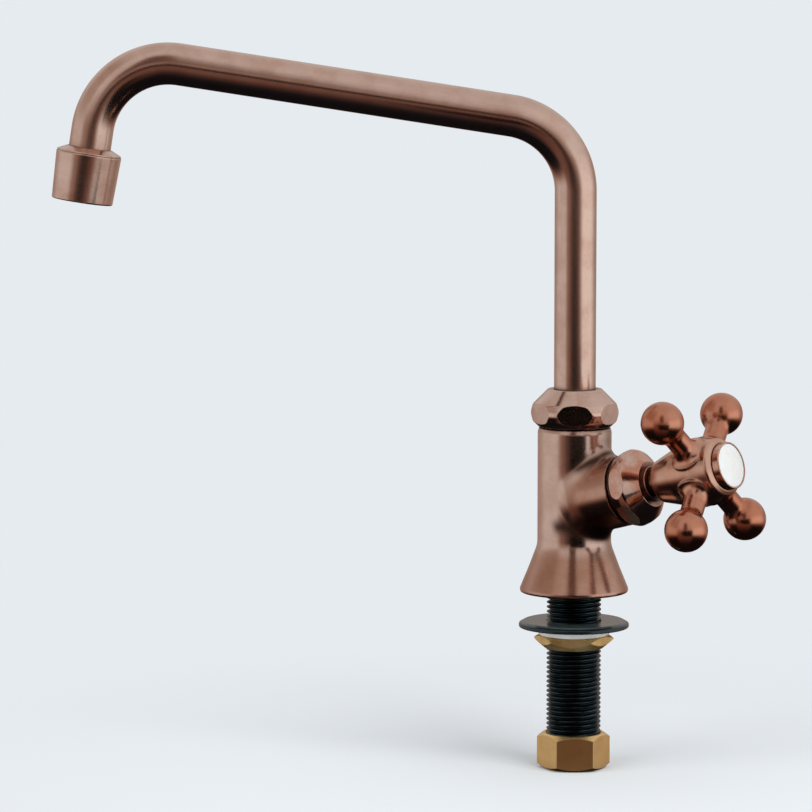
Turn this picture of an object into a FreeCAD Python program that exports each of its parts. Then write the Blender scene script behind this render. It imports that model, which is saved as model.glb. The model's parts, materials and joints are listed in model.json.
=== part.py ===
"""Swivel spout pillar tap: one cold tap with a flared foot, a cross handle on an
inclined valve branch, a bent spout that turns on the body, and a threaded shank
with its clamping parts and tail nut.

Units are millimetres. The origin is the centre of the foot's underside, where the
tap seats on a deck. +Z is up, along the body. At rest the spout points along -X,
and the valve branch points to the front right.
"""

import FreeCAD, Part
import math
import os

from FreeCAD import Placement, Rotation, Vector

# Fits between pieces
THREAD_GAP = 0.08      # radial, between a screwed pair drawn without its threads
TURN_GAP = 0.06        # radial, between a piece that turns or slides and its guide
FACE_GAP = 0.10        # along an axis, between stacked pieces that move past each other
REST_GAP = 0.02        # along an axis, between stacked pieces that are clamped together
OVERCUT = 1.0          # how far a cutting shape reaches past the face it opens

# Edges
FINE_EDGE = 0.3
EDGE = 0.5
THREAD_BEVEL = 0.6     # at the start of a thread

# Foot and body
FOOT_RADIUS = 20.75
FOOT_LIP = 1.5         # height of the foot's upright edge
FOOT_EDGE = 0.8
FOOT_SHOULDER = 1.0    # round between the upright edge and the flare
FLARE_TOP = 18.4
FLARE_DIP = 0.17       # how far the flare's middle dips below a straight cone
FLARE_SWEEP = 150.0
FLARE_ROUND = 10.0
BODY_SHOULDER = 11.2034  # from the junction's upper edge to the body's top
BODY_BEVEL = 0.5
BODY_BEVEL_HEIGHT = 1.6
FOOT_RIM = 3.2         # width of the ring that seats on the deck
FOOT_RECESS = 1.6
SOCKET_DEPTH = 15.0
SOCKET_WALL = 3.0
JUNCTION_ROUND = 4.4   # fillet where the branch leaves the body

# Spout seat on top of the body
PIPE_RADIUS = 8.0
PIPE_WALL = 1.2
LIP_SEAL_WIDTH = 2.6
LIP_SEAL_HEIGHT = 4.8
SPIGOT_WALL = 2.4
SPIGOT_HEIGHT = 7.6
SPIGOT_STEP = 1.15     # body shoulder outside the spigot
SNAP_RING_SINK = 1.2   # how far the ring's lower face sits below the spigot's rim
SNAP_RING_HEIGHT = 1.8
SNAP_RING_SPLIT = 1.6
SNAP_GROOVE_DEPTH = 0.6
SNAP_RING_WIDTH = 2.4
SLIP_WASHER_HEIGHT = 1.4
SLIP_WASHER_INSET = 0.4  # its outer edge inside the spigot's
SEAL_LIP_GAP = 1.2     # mouth of the groove between the seal's lips
SEAL_LIP_DEPTH = 0.6   # share of the seal's height
PIPE_TAIL = 4.0        # how far the pipe reaches below its lip seal
PIPE_END_PLAY = 0.5    # from the pipe's end to the ledge below it

# Barrel nuts, the same form on the body and on the branch
NUT_REAR_INSET = 1.4    # rear edge inside the flats
NUT_REAR_ROUND = 0.4
NUT_SHOULDER = 0.38     # share of the way from the rear to the widest ring
NUT_SHOULDER_INSET = 0.55
NUT_SHOULDER_ROUND = 2.0
NUT_CROWN_OVER = 0.3    # the outline's corner outside the rounded ring
NUT_CROWN_ROUND = 5.0
NUT_BRIM = 0.36         # share of the dome at which its cone starts
NUT_BRIM_INSET = 0.65
NUT_BRIM_ROUND = 2.0

# Spout nut
SPOUT_NUT_WALL = 2.36
SPOUT_NUT_BULGE = 1.28  # how far the barrel stands proud of the flats
SPOUT_NUT_LIFT = 0.5    # open line between nut and body
SPOUT_NUT_MIDDLE = 5.4  # from the nut's lower face to its widest ring
SPOUT_NUT_DOME = 8.9    # from the widest ring to the nut's outer end
SPOUT_NUT_END = 2.3     # from the pipe to the edge of the outer end
SPOUT_NUT_TURN = -3.0   # degrees about the body, as the photograph shows it
PIPE_HOLE_GAP = 0.18    # radial, round the pipe in the nut

# Spout
SPOUT_REACH = 187.5    # from the body's axis to the centre of the outlet's mouth
KNEE_HEIGHT = 178.5    # where the arm's centre line meets the body's axis
ARM_RISE_DEG = 8.76
BEND_RADIUS = 29.0
OUTLET_DROP = 56.9     # from the outer corner of the centre line to the mouth

# Outlet
CAP_LENGTH = 18.4
CAP_TOP_RADIUS = 12.4
CAP_MOUTH_RADIUS = 11.6
CAP_TOP_WALL = 1.7
CAP_MOUTH_WALL = 1.2
CAP_TOP_EDGE = 0.4
COLLAR_HEIGHT = 2.2
COLLAR_RIM = 0.5       # upright edge below the collar's cone
COLLAR_INSET = 0.25    # collar's edge inside the cap's
COLLAR_STEP = 0.6      # collar's small end outside the pipe
NIPPLE_LENGTH = 6.2
NIPPLE_INSERT = 2.8    # how far the pipe reaches into the threaded part
OUTLET_SEAL_HEIGHT = 1.6
OUTLET_SEAL_WIDTH = 3.6
SCREEN_HEIGHT = 0.6
MOUTH_LIP = 1.5        # height of the lip that holds the insert
MOUTH_LIP_WIDTH = 1.0
CELL_COUNT = 5         # cells of the straightener across each way
CELL_RIB = 0.7
SCREEN_HOLES = 5       # holes of the screen across each way
SCREEN_HOLE_RADIUS = 1.0
SCREEN_RIM = 1.6
STRAIGHTENER_WALL = 1.8
RIB_ROOT = 0.3         # how far the ribs reach into the wall

# Valve branch
VALVE_TURN_DEG = -37.5  # where the branch points, about the body
VALVE_TILT_DEG = 15.4   # how far it rises
VALVE_HEIGHT = 34.4     # where its axis leaves the body's axis
SPINDLE_RADIUS = 8.0    # over its lifting thread
BRANCH_WALL = 4.0       # from the lifting thread to the outer thread
BRANCH_STEP = 1.4       # branch shoulder outside its thread
BODY_OVER_BRANCH = 0.75
BRANCH_LENGTH = 24.5    # from the body's axis to the shoulder
BRANCH_THREAD = 6.6

# Waterways inside the body
INLET_RADIUS = 6.0
SEAT_BORE_RADIUS = 5.0
SEAT_WALL = 2.0
SEAT_FACE = 9.5         # from the body's axis, along the valve
SEAT_STAND = 1.5
CHAMBER_WALL = 2.9
CHAMBER_END = 17.0
OUTLET_FLOOR = 8.9      # from the valve's height up to the outlet bore
OUTLET_LEDGE = 0.5      # outlet bore's radius inside the pipe's

# Jumper valve
JUMPER_WASHER_HEIGHT = 2.4
JUMPER_DISC_HEIGHT = 1.8
JUMPER_DISC_OVER = 0.4   # disc radius outside the seat's rim
JUMPER_STEM_RADIUS = 2.6
JUMPER_STEM_LENGTH = 8.0
JUMPER_PIN_RADIUS = 1.6
JUMPER_PIN_OVER = 0.4    # pin past its nut
JUMPER_GUIDE_PLAY = 1.0  # room past the stem's end in the spindle
JUMPER_NUT_FLATS = 6.0
JUMPER_NUT_HEIGHT = 2.2

# Spindle
SPINDLE_LIFT = 5.0       # at two turns, full open
SPINDLE_STOP = 2.2       # from the lifted thread to the packing's ring
SPINDLE_BEVEL = 1.0
SPINDLE_ROUND = 0.8
STEM_RADIUS = 4.9
DRIVE_FLATS = 7.0
DRIVE_LENGTH = 9.0
STEM_SHOW = 4.6          # stem between the bonnet nut and the handle when shut
STEM_IN_HUB = 4.6        # round stem inside the handle
DRIVE_PLAY = 0.6         # from the square's end to the handle's web
TAP_PLAY = 1.0           # tapped hole past the screw's end

# Bonnet nut
BONNET_NUT_WALL = 1.5
BONNET_NUT_BULGE = 1.15
BONNET_NUT_LIFT = 0.8
BONNET_NUT_MIDDLE = 4.4
BONNET_NUT_DOME = 7.3
BONNET_NUT_TURN = 18.0
BONNET_NUT_END = 3.8     # from the stem to the edge of the outer end
GLAND_RING_HEIGHT = 1.3
GLAND_RING_WIDTH = 1.9   # from the stem to the ring's edge
GLAND_RING_EDGE = 0.4
PACKING_RING_HEIGHT = 1.2
PACKING_RING_INSET = 0.6
PACKING_RING_BEVEL = 0.2
PACKING_HEIGHT = 3.4
PACKING_WIDTH = 4.0
PACKING_TIP = 1.4        # width at the packing's small end
PACKING_COLLAR = 1.0     # length before the packing's cone

# Cross handle
HUB_LENGTH = 29.0
HUB_REAR_RADIUS = 8.0
HUB_RADIUS = 12.5
HUB_REAR_ROUND = 1.0
HUB_SHOULDER_BACK = 9.0  # from the arms' plane back to the bell's shoulder
HUB_SHOULDER_INSET = 1.2
HUB_SHOULDER_ROUND = 9.0
HUB_BELLY_ROUND = 12.0
HUB_FRONT_BEVEL = 1.2
HUB_FRONT_ROUND = 1.5
HUB_FACE_ROUND = 0.4
HUB_FACE_STEP = 0.3      # face's edge outside the bezel
ARM_PLANE = 19.3         # from the hub's rear face
ARM_COUNT = 4
ARM_REACH = 28.7         # from the valve axis to a ball's centre
BALL_RADIUS = 8.1
NECK_RADIUS = 4.3
NECK_ROUND = 4.0
ROOT_ROUND = 5.0
ROOT_SWEEP_DEG = 70.0
ROOT_SINK = 1.5          # how far the arm's flared root starts inside the hub
ARM_START = 0.45         # share of the hub's radius at which an arm starts
HUB_WEB = 3.0            # wall that the handle screw holds against
HUB_WALL_FRONT = 3.2     # wall round the button's recess

# Handle screw
SCREW_RADIUS = 2.0
SCREW_HEAD_RADIUS = 3.8
SCREW_HEAD_HEIGHT = 2.6
SCREW_LENGTH = 11.0
SCREW_SLOT = 1.0
SCREW_SLOT_DEPTH = 1.1
SCREW_HOLE_GAP = 0.2

# Index button
BUTTON_RADIUS = 8.2
BEZEL_WIDTH = 0.7
BEZEL_HEIGHT = 3.0
BEZEL_FLOOR = 0.8        # metal behind the button
BEZEL_ROUND = 0.1        # inner lip
BUTTON_CROWN = 0.8
BUTTON_SINK = 0.3        # button's edge behind the bezel's
PLUG_LENGTH = 5.0        # how far the bezel's plug reaches into the hub
PLUG_WALL = 1.2
PLUG_FLOOR = 1.0

# Shank and clamping parts
SHANK_RADIUS = 10.4775   # G 1/2 thread, over its crests
SHANK_BORE = 6.5
SHANK_BOTTOM = -64.0
SHANK_PLAY = 0.5         # from the shank's top to the socket's floor
DECK_GAP = 11.2          # from the foot to the gasket, as the photograph shows it
CLAMP_HOLE_GAP = 0.12    # radial, between the shank and the loose washers
GASKET_RADIUS = 21.15
GASKET_HEIGHT = 2.4
GASKET_TAPER = 1.85      # width of the sloping band round the top
GASKET_TAPER_DROP = 1.0
GASKET_TAPER_ROUND = 0.7
GASKET_EDGE = 0.4
CLAMP_WASHER_WIDTH = 3.1
CLAMP_WASHER_HEIGHT = 2.85
LOCK_NUT_WALL = 2.82
LOCK_NUT_HEIGHT = 5.1
LOCK_NUT_TOP_WIDTH = 2.3   # from the shank to the edge of the upper face
LOCK_NUT_TOP_CHAMFER = 1.3
LOCK_NUT_FOOT_WIDTH = 0.7  # from the shank to the edge of the lower face
LOCK_NUT_CONE = 3.5
LOCK_NUT_TURN = -7.0

# Tail nut
TAIL_NUT_WALL = 1.67
TAIL_NUT_HEIGHT = 13.5
TAIL_NUT_END_WIDTH = 1.0   # from the thread to the edge of either end
TAIL_NUT_TOP_CHAMFER = 1.8
TAIL_NUT_LOW_CHAMFER = 1.4
TAIL_LIP = 2.1
TAIL_PACKING_HEIGHT = 2.0
TAIL_PACKING_INSET = 0.2
TAIL_MOUTH_RADIUS = 8.1
TAIL_NUT_TURN = 0.0

# Radii that follow from the fits
LIP_SEAL_RADIUS = PIPE_RADIUS + LIP_SEAL_WIDTH
SPIGOT_RADIUS = LIP_SEAL_RADIUS + SPIGOT_WALL
BRANCH_THREAD_RADIUS = SPINDLE_RADIUS + BRANCH_WALL
BRANCH_RADIUS = BRANCH_THREAD_RADIUS + BRANCH_STEP
BODY_RADIUS = max(SPIGOT_RADIUS + SPIGOT_STEP, BRANCH_RADIUS + BODY_OVER_BRANCH)
CHAMBER_RADIUS = BRANCH_RADIUS - CHAMBER_WALL
STEM_HOLE = STEM_RADIUS + TURN_GAP
HUB_FRONT_RADIUS = BUTTON_RADIUS + HUB_WALL_FRONT
NIPPLE_RADIUS = CAP_TOP_RADIUS - CAP_TOP_WALL
INSERT_RADIUS = CAP_MOUTH_RADIUS - CAP_MOUTH_WALL
MOUTH_RADIUS = INSERT_RADIUS - MOUTH_LIP_WIDTH
CLAMP_HOLE = SHANK_RADIUS + CLAMP_HOLE_GAP

# Heights on the body's axis
VALVE_TILT = math.radians(VALVE_TILT_DEG)
JUNCTION_TOP = VALVE_HEIGHT + BODY_RADIUS * math.tan(VALVE_TILT) + BRANCH_RADIUS / math.cos(VALVE_TILT)
BODY_TOP = JUNCTION_TOP + BODY_SHOULDER
SPIGOT_TOP = BODY_TOP + SPIGOT_HEIGHT
SNAP_RING_BOTTOM = SPIGOT_TOP - SNAP_RING_SINK
LIP_SEAL_TOP = SNAP_RING_BOTTOM - FACE_GAP
LIP_SEAL_BOTTOM = LIP_SEAL_TOP - LIP_SEAL_HEIGHT
PIPE_BOTTOM = LIP_SEAL_BOTTOM - PIPE_TAIL
SLIP_WASHER_BOTTOM = SNAP_RING_BOTTOM + SNAP_RING_HEIGHT + FACE_GAP
SLIP_WASHER_TOP = SLIP_WASHER_BOTTOM + SLIP_WASHER_HEIGHT
SPOUT_NUT_BOTTOM = BODY_TOP + SPOUT_NUT_LIFT
SPOUT_NUT_TOP = SPOUT_NUT_BOTTOM + SPOUT_NUT_MIDDLE + SPOUT_NUT_DOME
GASKET_TOP = -DECK_GAP
GASKET_BOTTOM = GASKET_TOP - GASKET_HEIGHT
CLAMP_WASHER_TOP = GASKET_BOTTOM - REST_GAP
LOCK_NUT_TOP = CLAMP_WASHER_TOP - CLAMP_WASHER_HEIGHT - FACE_GAP
TAIL_PACKING_BOTTOM = SHANK_BOTTOM - TAIL_PACKING_HEIGHT - REST_GAP
TAIL_NUT_BOTTOM = TAIL_PACKING_BOTTOM - REST_GAP - TAIL_LIP

# Stations along the valve's axis, from the body's axis
BONNET_NUT_REAR = BRANCH_LENGTH + BONNET_NUT_LIFT
BRANCH_END = BRANCH_LENGTH + BRANCH_THREAD
PACKING_RING_END = BRANCH_END + REST_GAP + PACKING_RING_HEIGHT
BONNET_NUT_FRONT = BONNET_NUT_REAR + BONNET_NUT_MIDDLE + BONNET_NUT_DOME
GLAND_RING_FRONT = BONNET_NUT_FRONT + GLAND_RING_HEIGHT
JUMPER_DISC_REAR = SEAT_FACE + FACE_GAP + JUMPER_WASHER_HEIGHT
JUMPER_DISC_FRONT = JUMPER_DISC_REAR + JUMPER_DISC_HEIGHT
SPINDLE_REAR = JUMPER_DISC_FRONT + FACE_GAP
SPINDLE_THREAD_END = BRANCH_END - SPINDLE_STOP - SPINDLE_LIFT - SPINDLE_BEVEL
HUB_REAR = BONNET_NUT_FRONT + STEM_SHOW
ARM_STATION = HUB_REAR + ARM_PLANE
HUB_FRONT = HUB_REAR + HUB_LENGTH
DRIVE_REAR = HUB_REAR + STEM_IN_HUB
DRIVE_FRONT = DRIVE_REAR + DRIVE_LENGTH
WEB_REAR = DRIVE_FRONT + DRIVE_PLAY
WEB_FRONT = WEB_REAR + HUB_WEB

# Stations along the outlet's axis, from the centre line's outer corner
CAP_TOP = OUTLET_DROP - CAP_LENGTH
NIPPLE_END = CAP_TOP + NIPPLE_LENGTH
SEAL_END = NIPPLE_END + REST_GAP + OUTLET_SEAL_HEIGHT
SCREEN_END = SEAL_END + REST_GAP + SCREEN_HEIGHT
INSERT_END = OUTLET_DROP - MOUTH_LIP - REST_GAP


def rounded_wire(corners):
    """A closed wire in the XZ plane through (x, z, round) corners, each with its tangent arc."""
    points = [Vector(c[0], 0, c[1]) for c in corners]
    ends = []
    for i, corner in enumerate(corners):
        here = points[i]
        before = points[i - 1] - here
        after = points[(i + 1) % len(points)] - here
        radius = corner[2] if len(corner) > 2 else 0.0
        if radius <= 0:
            ends.append((here, None, here))
            continue
        shorter = min(before.Length, after.Length)
        half = before.getAngle(after) / 2
        back = min(radius / math.tan(half), 0.48 * shorter)
        radius = back * math.tan(half)
        before.normalize()
        after.normalize()
        inward = before + after
        inward.normalize()
        middle = here + inward * (radius / math.sin(half) - radius)
        ends.append((here + before * back, middle, here + after * back))
    edges = []
    for i, (start, middle, end) in enumerate(ends):
        if middle is not None:
            edges.append(Part.Arc(start, middle, end).toShape())
        following = ends[(i + 1) % len(ends)][0]
        if (following - end).Length > 1e-6:
            edges.append(Part.LineSegment(end, following).toShape())
    return Part.Wire(edges)


def turned(corners):
    """A solid of revolution about Z from (radius, height, round) corners."""
    face = Part.Face(rounded_wire(corners))
    return face.revolve(Vector(0, 0, 0), Vector(0, 0, 1), 360)


def ring(inner, outer, bottom, top, bevel=0.0):
    """A plain ring about Z, with its outer edges bevelled."""
    corners = [(inner, bottom), (outer - bevel, bottom), (outer, bottom + bevel)]
    corners += [(outer, top - bevel), (outer - bevel, top), (inner, top)]
    return turned(corners)


def rod(radius, bottom, top):
    """A cylinder about Z."""
    return Part.makeCylinder(radius, top - bottom, Vector(0, 0, bottom))


def hexagon(flats, bottom, top, turn=0.0):
    """A hexagonal prism about Z, with one flat facing -Y before it is turned."""
    corner = flats / math.sqrt(3)
    points = [
        Vector(corner * math.cos(math.radians(60 * i)), corner * math.sin(math.radians(60 * i)), bottom)
        for i in range(7)
    ]
    prism = Part.Face(Part.makePolygon(points)).extrude(Vector(0, 0, top - bottom))
    prism.rotate(Vector(0, 0, 0), Vector(0, 0, 1), turn)
    return prism


def placed(shape, placement):
    """The shape moved from its own axis to its place on the tap."""
    moved = shape.copy()
    moved.Placement = placement.multiply(shape.Placement)
    return moved


def valve_placement():
    """Carries Z to the valve's axis, and Y to the side of it that faces up."""
    turn = math.radians(VALVE_TURN_DEG)
    level_part = math.cos(VALVE_TILT)
    along = Vector(level_part * math.cos(turn), level_part * math.sin(turn), math.sin(VALVE_TILT))
    level = Vector(0, 0, 1).cross(along)
    level.normalize()
    return Placement(Vector(0, 0, VALVE_HEIGHT), Rotation(level, along.cross(level), along, "ZXY"))


def outlet_corner():
    """Where the arm's centre line meets the outlet's."""
    rise = math.radians(ARM_RISE_DEG)
    across = SPOUT_REACH - OUTLET_DROP * math.sin(rise)
    return Vector(-across, 0, KNEE_HEIGHT + across * math.tan(rise))


def outlet_placement():
    """Carries Z to the way the water leaves, from the centre line's outer corner."""
    rise = math.radians(ARM_RISE_DEG)
    along = Vector(-math.sin(rise), 0, -math.cos(rise))
    side = Vector(0, 1, 0)
    return Placement(outlet_corner(), Rotation(side.cross(along), side, along, "ZXY"))


VALVE = valve_placement()
OUTLET = outlet_placement()


def barrel_nut(half_flats, bulge, rear, middle, dome, end_radius, turn):
    """A hexagon turned to a barrel, so that its flats are round patches, with a coned outer end."""
    widest = half_flats + bulge
    crown = rear + middle
    front = crown + dome
    form = turned([
        (0, rear),
        (half_flats - NUT_REAR_INSET, rear, NUT_REAR_ROUND),
        (widest - NUT_SHOULDER_INSET, rear + NUT_SHOULDER * middle, NUT_SHOULDER_ROUND),
        (widest + NUT_CROWN_OVER, crown, NUT_CROWN_ROUND),
        (widest - NUT_BRIM_INSET, crown + NUT_BRIM * dome, NUT_BRIM_ROUND),
        (end_radius, front, EDGE),
        (0, front),
    ])
    return form.common(hexagon(2 * half_flats, rear - OVERCUT, front + OVERCUT, turn))


def tap_body():
    """Flared foot, round body and inclined valve branch in one casting, with its waterways."""
    waist = (FOOT_RADIUS + BODY_RADIUS) / 2 - FLARE_DIP
    trunk = turned([
        (0, 0),
        (FOOT_RADIUS, 0, FOOT_EDGE),
        (FOOT_RADIUS, FOOT_LIP, FOOT_SHOULDER),
        (waist, (FOOT_LIP + FLARE_TOP) / 2, FLARE_SWEEP),
        (BODY_RADIUS, FLARE_TOP, FLARE_ROUND),
        (BODY_RADIUS, BODY_TOP - BODY_BEVEL_HEIGHT),
        (BODY_RADIUS - BODY_BEVEL, BODY_TOP),
        (0, BODY_TOP),
    ])
    branch = placed(rod(BRANCH_RADIUS, 0, BRANCH_LENGTH), VALVE)
    casting = trunk.fuse(branch).removeSplitter()
    seam = [e for e in casting.Edges if e.Curve.TypeId == "Part::GeomBSplineCurve"]
    casting = casting.makeFillet(JUNCTION_ROUND, seam)
    spigot = threaded_end(SPIGOT_RADIUS, BODY_TOP, SPIGOT_TOP)
    neck = threaded_end(BRANCH_THREAD_RADIUS, BRANCH_LENGTH, BRANCH_END)
    casting = casting.fuse([spigot, placed(neck, VALVE)])
    return casting.cut(body_waterways()).removeSplitter()


def threaded_end(radius, shoulder, end):
    """A plain stub about Z with a bevelled end, which starts inside the shoulder it stands on."""
    return turned([
        (0, shoulder - OVERCUT),
        (radius, shoulder - OVERCUT),
        (radius, end - THREAD_BEVEL),
        (radius - THREAD_BEVEL, end),
        (0, end),
    ])


def body_waterways():
    """Everything that is hollow in the body: socket, inlet, seat, valve chamber and spout seat."""
    socket_radius = SHANK_RADIUS + THREAD_GAP
    recess = ring(socket_radius + SOCKET_WALL, FOOT_RADIUS - FOOT_RIM, -OVERCUT, FOOT_RECESS)
    socket = rod(socket_radius, -OVERCUT, SOCKET_DEPTH)
    inlet = rod(INLET_RADIUS, SOCKET_DEPTH - OVERCUT, VALVE_HEIGHT)
    elbow = Part.makeSphere(INLET_RADIUS, Vector(0, 0, VALVE_HEIGHT))
    seat_bore = placed(rod(SEAT_BORE_RADIUS, 0, SEAT_FACE + OVERCUT), VALVE)
    moat = ring(SEAT_BORE_RADIUS + SEAT_WALL, CHAMBER_RADIUS, SEAT_FACE - SEAT_STAND, SEAT_FACE)
    chamber = rod(CHAMBER_RADIUS, SEAT_FACE, CHAMBER_END)
    lifting_thread = rod(SPINDLE_RADIUS + TURN_GAP, CHAMBER_END, BRANCH_END + OVERCUT)
    valve_room = placed(moat.fuse([chamber, lifting_thread]), VALVE)
    outlet_bore = rod(PIPE_RADIUS - OUTLET_LEDGE, VALVE_HEIGHT + OUTLET_FLOOR, PIPE_BOTTOM)
    pipe_bore = rod(PIPE_RADIUS + TURN_GAP, PIPE_BOTTOM - PIPE_END_PLAY, SPIGOT_TOP)
    seal_seat = rod(LIP_SEAL_RADIUS + REST_GAP, LIP_SEAL_BOTTOM - REST_GAP, SPIGOT_TOP + OVERCUT)
    return socket.fuse([recess, inlet, elbow, seat_bore, valve_room, outlet_bore, pipe_bore, seal_seat])


def spout_nut():
    """Barrel hexagon that holds the spout down on the body."""
    nut = barrel_nut(SPIGOT_RADIUS + SPOUT_NUT_WALL, SPOUT_NUT_BULGE, SPOUT_NUT_BOTTOM, SPOUT_NUT_MIDDLE,
                     SPOUT_NUT_DOME, PIPE_RADIUS + SPOUT_NUT_END, SPOUT_NUT_TURN)
    thread = rod(SPIGOT_RADIUS + THREAD_GAP, SPOUT_NUT_BOTTOM - OVERCUT, SLIP_WASHER_TOP + REST_GAP)
    hole = rod(PIPE_RADIUS + PIPE_HOLE_GAP, SPOUT_NUT_BOTTOM, SPOUT_NUT_TOP + OVERCUT)
    return nut.cut([thread, hole])


def slip_washer():
    """Slippery ring between the snap ring and the nut."""
    return ring(PIPE_RADIUS + 2 * TURN_GAP, SPIGOT_RADIUS - SLIP_WASHER_INSET, SLIP_WASHER_BOTTOM,
                SLIP_WASHER_TOP, FINE_EDGE)


def lip_seal():
    """Rubber ring with a groove between two lips that face the water."""
    inner = PIPE_RADIUS + TURN_GAP
    body = ring(inner, LIP_SEAL_RADIUS, LIP_SEAL_BOTTOM, LIP_SEAL_TOP, FINE_EDGE)
    middle = (inner + LIP_SEAL_RADIUS) / 2
    groove_top = LIP_SEAL_BOTTOM + SEAL_LIP_DEPTH * LIP_SEAL_HEIGHT
    groove = turned([
        (middle - SEAL_LIP_GAP / 2, LIP_SEAL_BOTTOM - OVERCUT),
        (middle + SEAL_LIP_GAP / 2, LIP_SEAL_BOTTOM - OVERCUT),
        (middle + SEAL_LIP_GAP / 4, groove_top),
        (middle - SEAL_LIP_GAP / 4, groove_top),
    ])
    return body.cut(groove)


def snap_ring():
    """Split metal ring that sits in the pipe's groove and carries the spout."""
    inner = PIPE_RADIUS - SNAP_GROOVE_DEPTH + REST_GAP
    top = SNAP_RING_BOTTOM + SNAP_RING_HEIGHT
    full = ring(inner, inner + SNAP_RING_WIDTH, SNAP_RING_BOTTOM, top, FINE_EDGE)
    corner = Vector(0, -SNAP_RING_SPLIT / 2, SNAP_RING_BOTTOM - OVERCUT)
    split = Part.makeBox(LIP_SEAL_RADIUS, SNAP_RING_SPLIT, SNAP_RING_HEIGHT + 2 * OVERCUT, corner)
    return full.cut(split)


def tube_section(radius, place, normal):
    """A round face for the tube, square to its run."""
    return Part.Face(Part.Wire(Part.makeCircle(radius, place, normal)))


def swept_tube(radius):
    """A solid bar of this radius along the spout's centre line: up, over, along and down."""
    rise = math.radians(ARM_RISE_DEG)
    up = Vector(0, 0, 1)
    arm = Vector(-math.cos(rise), 0, math.sin(rise))
    down = Vector(-math.sin(rise), 0, -math.cos(rise))
    knee = Vector(0, 0, KNEE_HEIGHT)
    corner = outlet_corner()
    knee_turn = math.pi / 2 - rise
    knee_back = BEND_RADIUS * math.tan(knee_turn / 2)
    bend_axis = Vector(0, -1, 0)
    leg_start = Vector(0, 0, PIPE_BOTTOM)
    leg_end = knee - up * knee_back
    arm_start = knee + arm * knee_back
    arm_end = corner - arm * BEND_RADIUS
    drop_start = corner + down * BEND_RADIUS
    drop_end = corner + down * (OUTLET_DROP - CAP_LENGTH + NIPPLE_INSERT)
    knee_centre = leg_end - Vector(BEND_RADIUS, 0, 0)
    corner_centre = arm_end + down * BEND_RADIUS
    leg = tube_section(radius, leg_start, up).extrude(leg_end - leg_start)
    first_bend = tube_section(radius, leg_end, up).revolve(knee_centre, bend_axis, math.degrees(knee_turn))
    run = tube_section(radius, arm_start, arm).extrude(arm_end - arm_start)
    second_bend = tube_section(radius, arm_end, arm).revolve(corner_centre, bend_axis, 90)
    drop = tube_section(radius, drop_start, down).extrude(drop_end - drop_start)
    return leg.fuse([first_bend, run, second_bend, drop]).removeSplitter()


def spout_pipe():
    """Bent tube with the snap ring's groove near its lower end."""
    pipe = swept_tube(PIPE_RADIUS).cut(swept_tube(PIPE_RADIUS - PIPE_WALL))
    groove = ring(PIPE_RADIUS - SNAP_GROOVE_DEPTH, PIPE_RADIUS + OVERCUT, SNAP_RING_BOTTOM - REST_GAP,
                  SNAP_RING_BOTTOM + SNAP_RING_HEIGHT + REST_GAP)
    return pipe.cut(groove)


def outlet_collar():
    """Ring brazed on the pipe's end: a coned collar above, and the thread for the cap below."""
    edge = CAP_TOP_RADIUS - COLLAR_INSET
    form = turned([
        (0, CAP_TOP - COLLAR_HEIGHT),
        (PIPE_RADIUS + COLLAR_STEP, CAP_TOP - COLLAR_HEIGHT, FINE_EDGE),
        (edge, CAP_TOP - COLLAR_RIM, FINE_EDGE),
        (edge, CAP_TOP - REST_GAP),
        (NIPPLE_RADIUS, CAP_TOP - REST_GAP),
        (NIPPLE_RADIUS, NIPPLE_END - THREAD_BEVEL),
        (NIPPLE_RADIUS - THREAD_BEVEL, NIPPLE_END),
        (0, NIPPLE_END),
    ])
    pipe_end = CAP_TOP + NIPPLE_INSERT + REST_GAP
    pipe_hole = rod(PIPE_RADIUS + REST_GAP, CAP_TOP - COLLAR_HEIGHT - OVERCUT, pipe_end)
    waterway = rod(PIPE_RADIUS - PIPE_WALL, CAP_TOP, NIPPLE_END + OVERCUT)
    return placed(form.cut([pipe_hole, waterway]), OUTLET)


def outlet_cap():
    """Tapered cap that screws on the collar and holds the insert."""
    form = turned([
        (0, CAP_TOP),
        (CAP_TOP_RADIUS, CAP_TOP, CAP_TOP_EDGE),
        (CAP_MOUTH_RADIUS, OUTLET_DROP, EDGE),
        (0, OUTLET_DROP),
    ])
    thread = rod(NIPPLE_RADIUS + THREAD_GAP, CAP_TOP - OVERCUT, SEAL_END)
    insert_bore = rod(INSERT_RADIUS, SEAL_END - OVERCUT, INSERT_END + REST_GAP)
    mouth = rod(MOUTH_RADIUS, INSERT_END, OUTLET_DROP + OVERCUT)
    return placed(form.cut([thread, insert_bore, mouth]), OUTLET)


def outlet_seal():
    """Flat rubber ring between the collar and the insert."""
    bottom = NIPPLE_END + REST_GAP
    seal = ring(NIPPLE_RADIUS - OUTLET_SEAL_WIDTH, NIPPLE_RADIUS, bottom, bottom + OUTLET_SEAL_HEIGHT)
    return placed(seal, OUTLET)


def outlet_screen():
    """Thin round plate with rows of holes."""
    bottom = SEAL_END + REST_GAP
    plate = rod(INSERT_RADIUS - TURN_GAP, bottom, bottom + SCREEN_HEIGHT)
    field = INSERT_RADIUS - SCREEN_RIM
    pitch = 2 * field / SCREEN_HOLES
    reach = (SCREEN_HOLES - 1) / 2
    holes = []
    for row in range(SCREEN_HOLES):
        for column in range(SCREEN_HOLES):
            x = (column - reach) * pitch
            y = (row - reach) * pitch
            if math.hypot(x, y) < field - SCREEN_HOLE_RADIUS:
                centre = Vector(x, y, bottom - OVERCUT)
                holes.append(Part.makeCylinder(SCREEN_HOLE_RADIUS, SCREEN_HEIGHT + 2 * OVERCUT, centre))
    return placed(plate.cut(holes), OUTLET)


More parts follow.
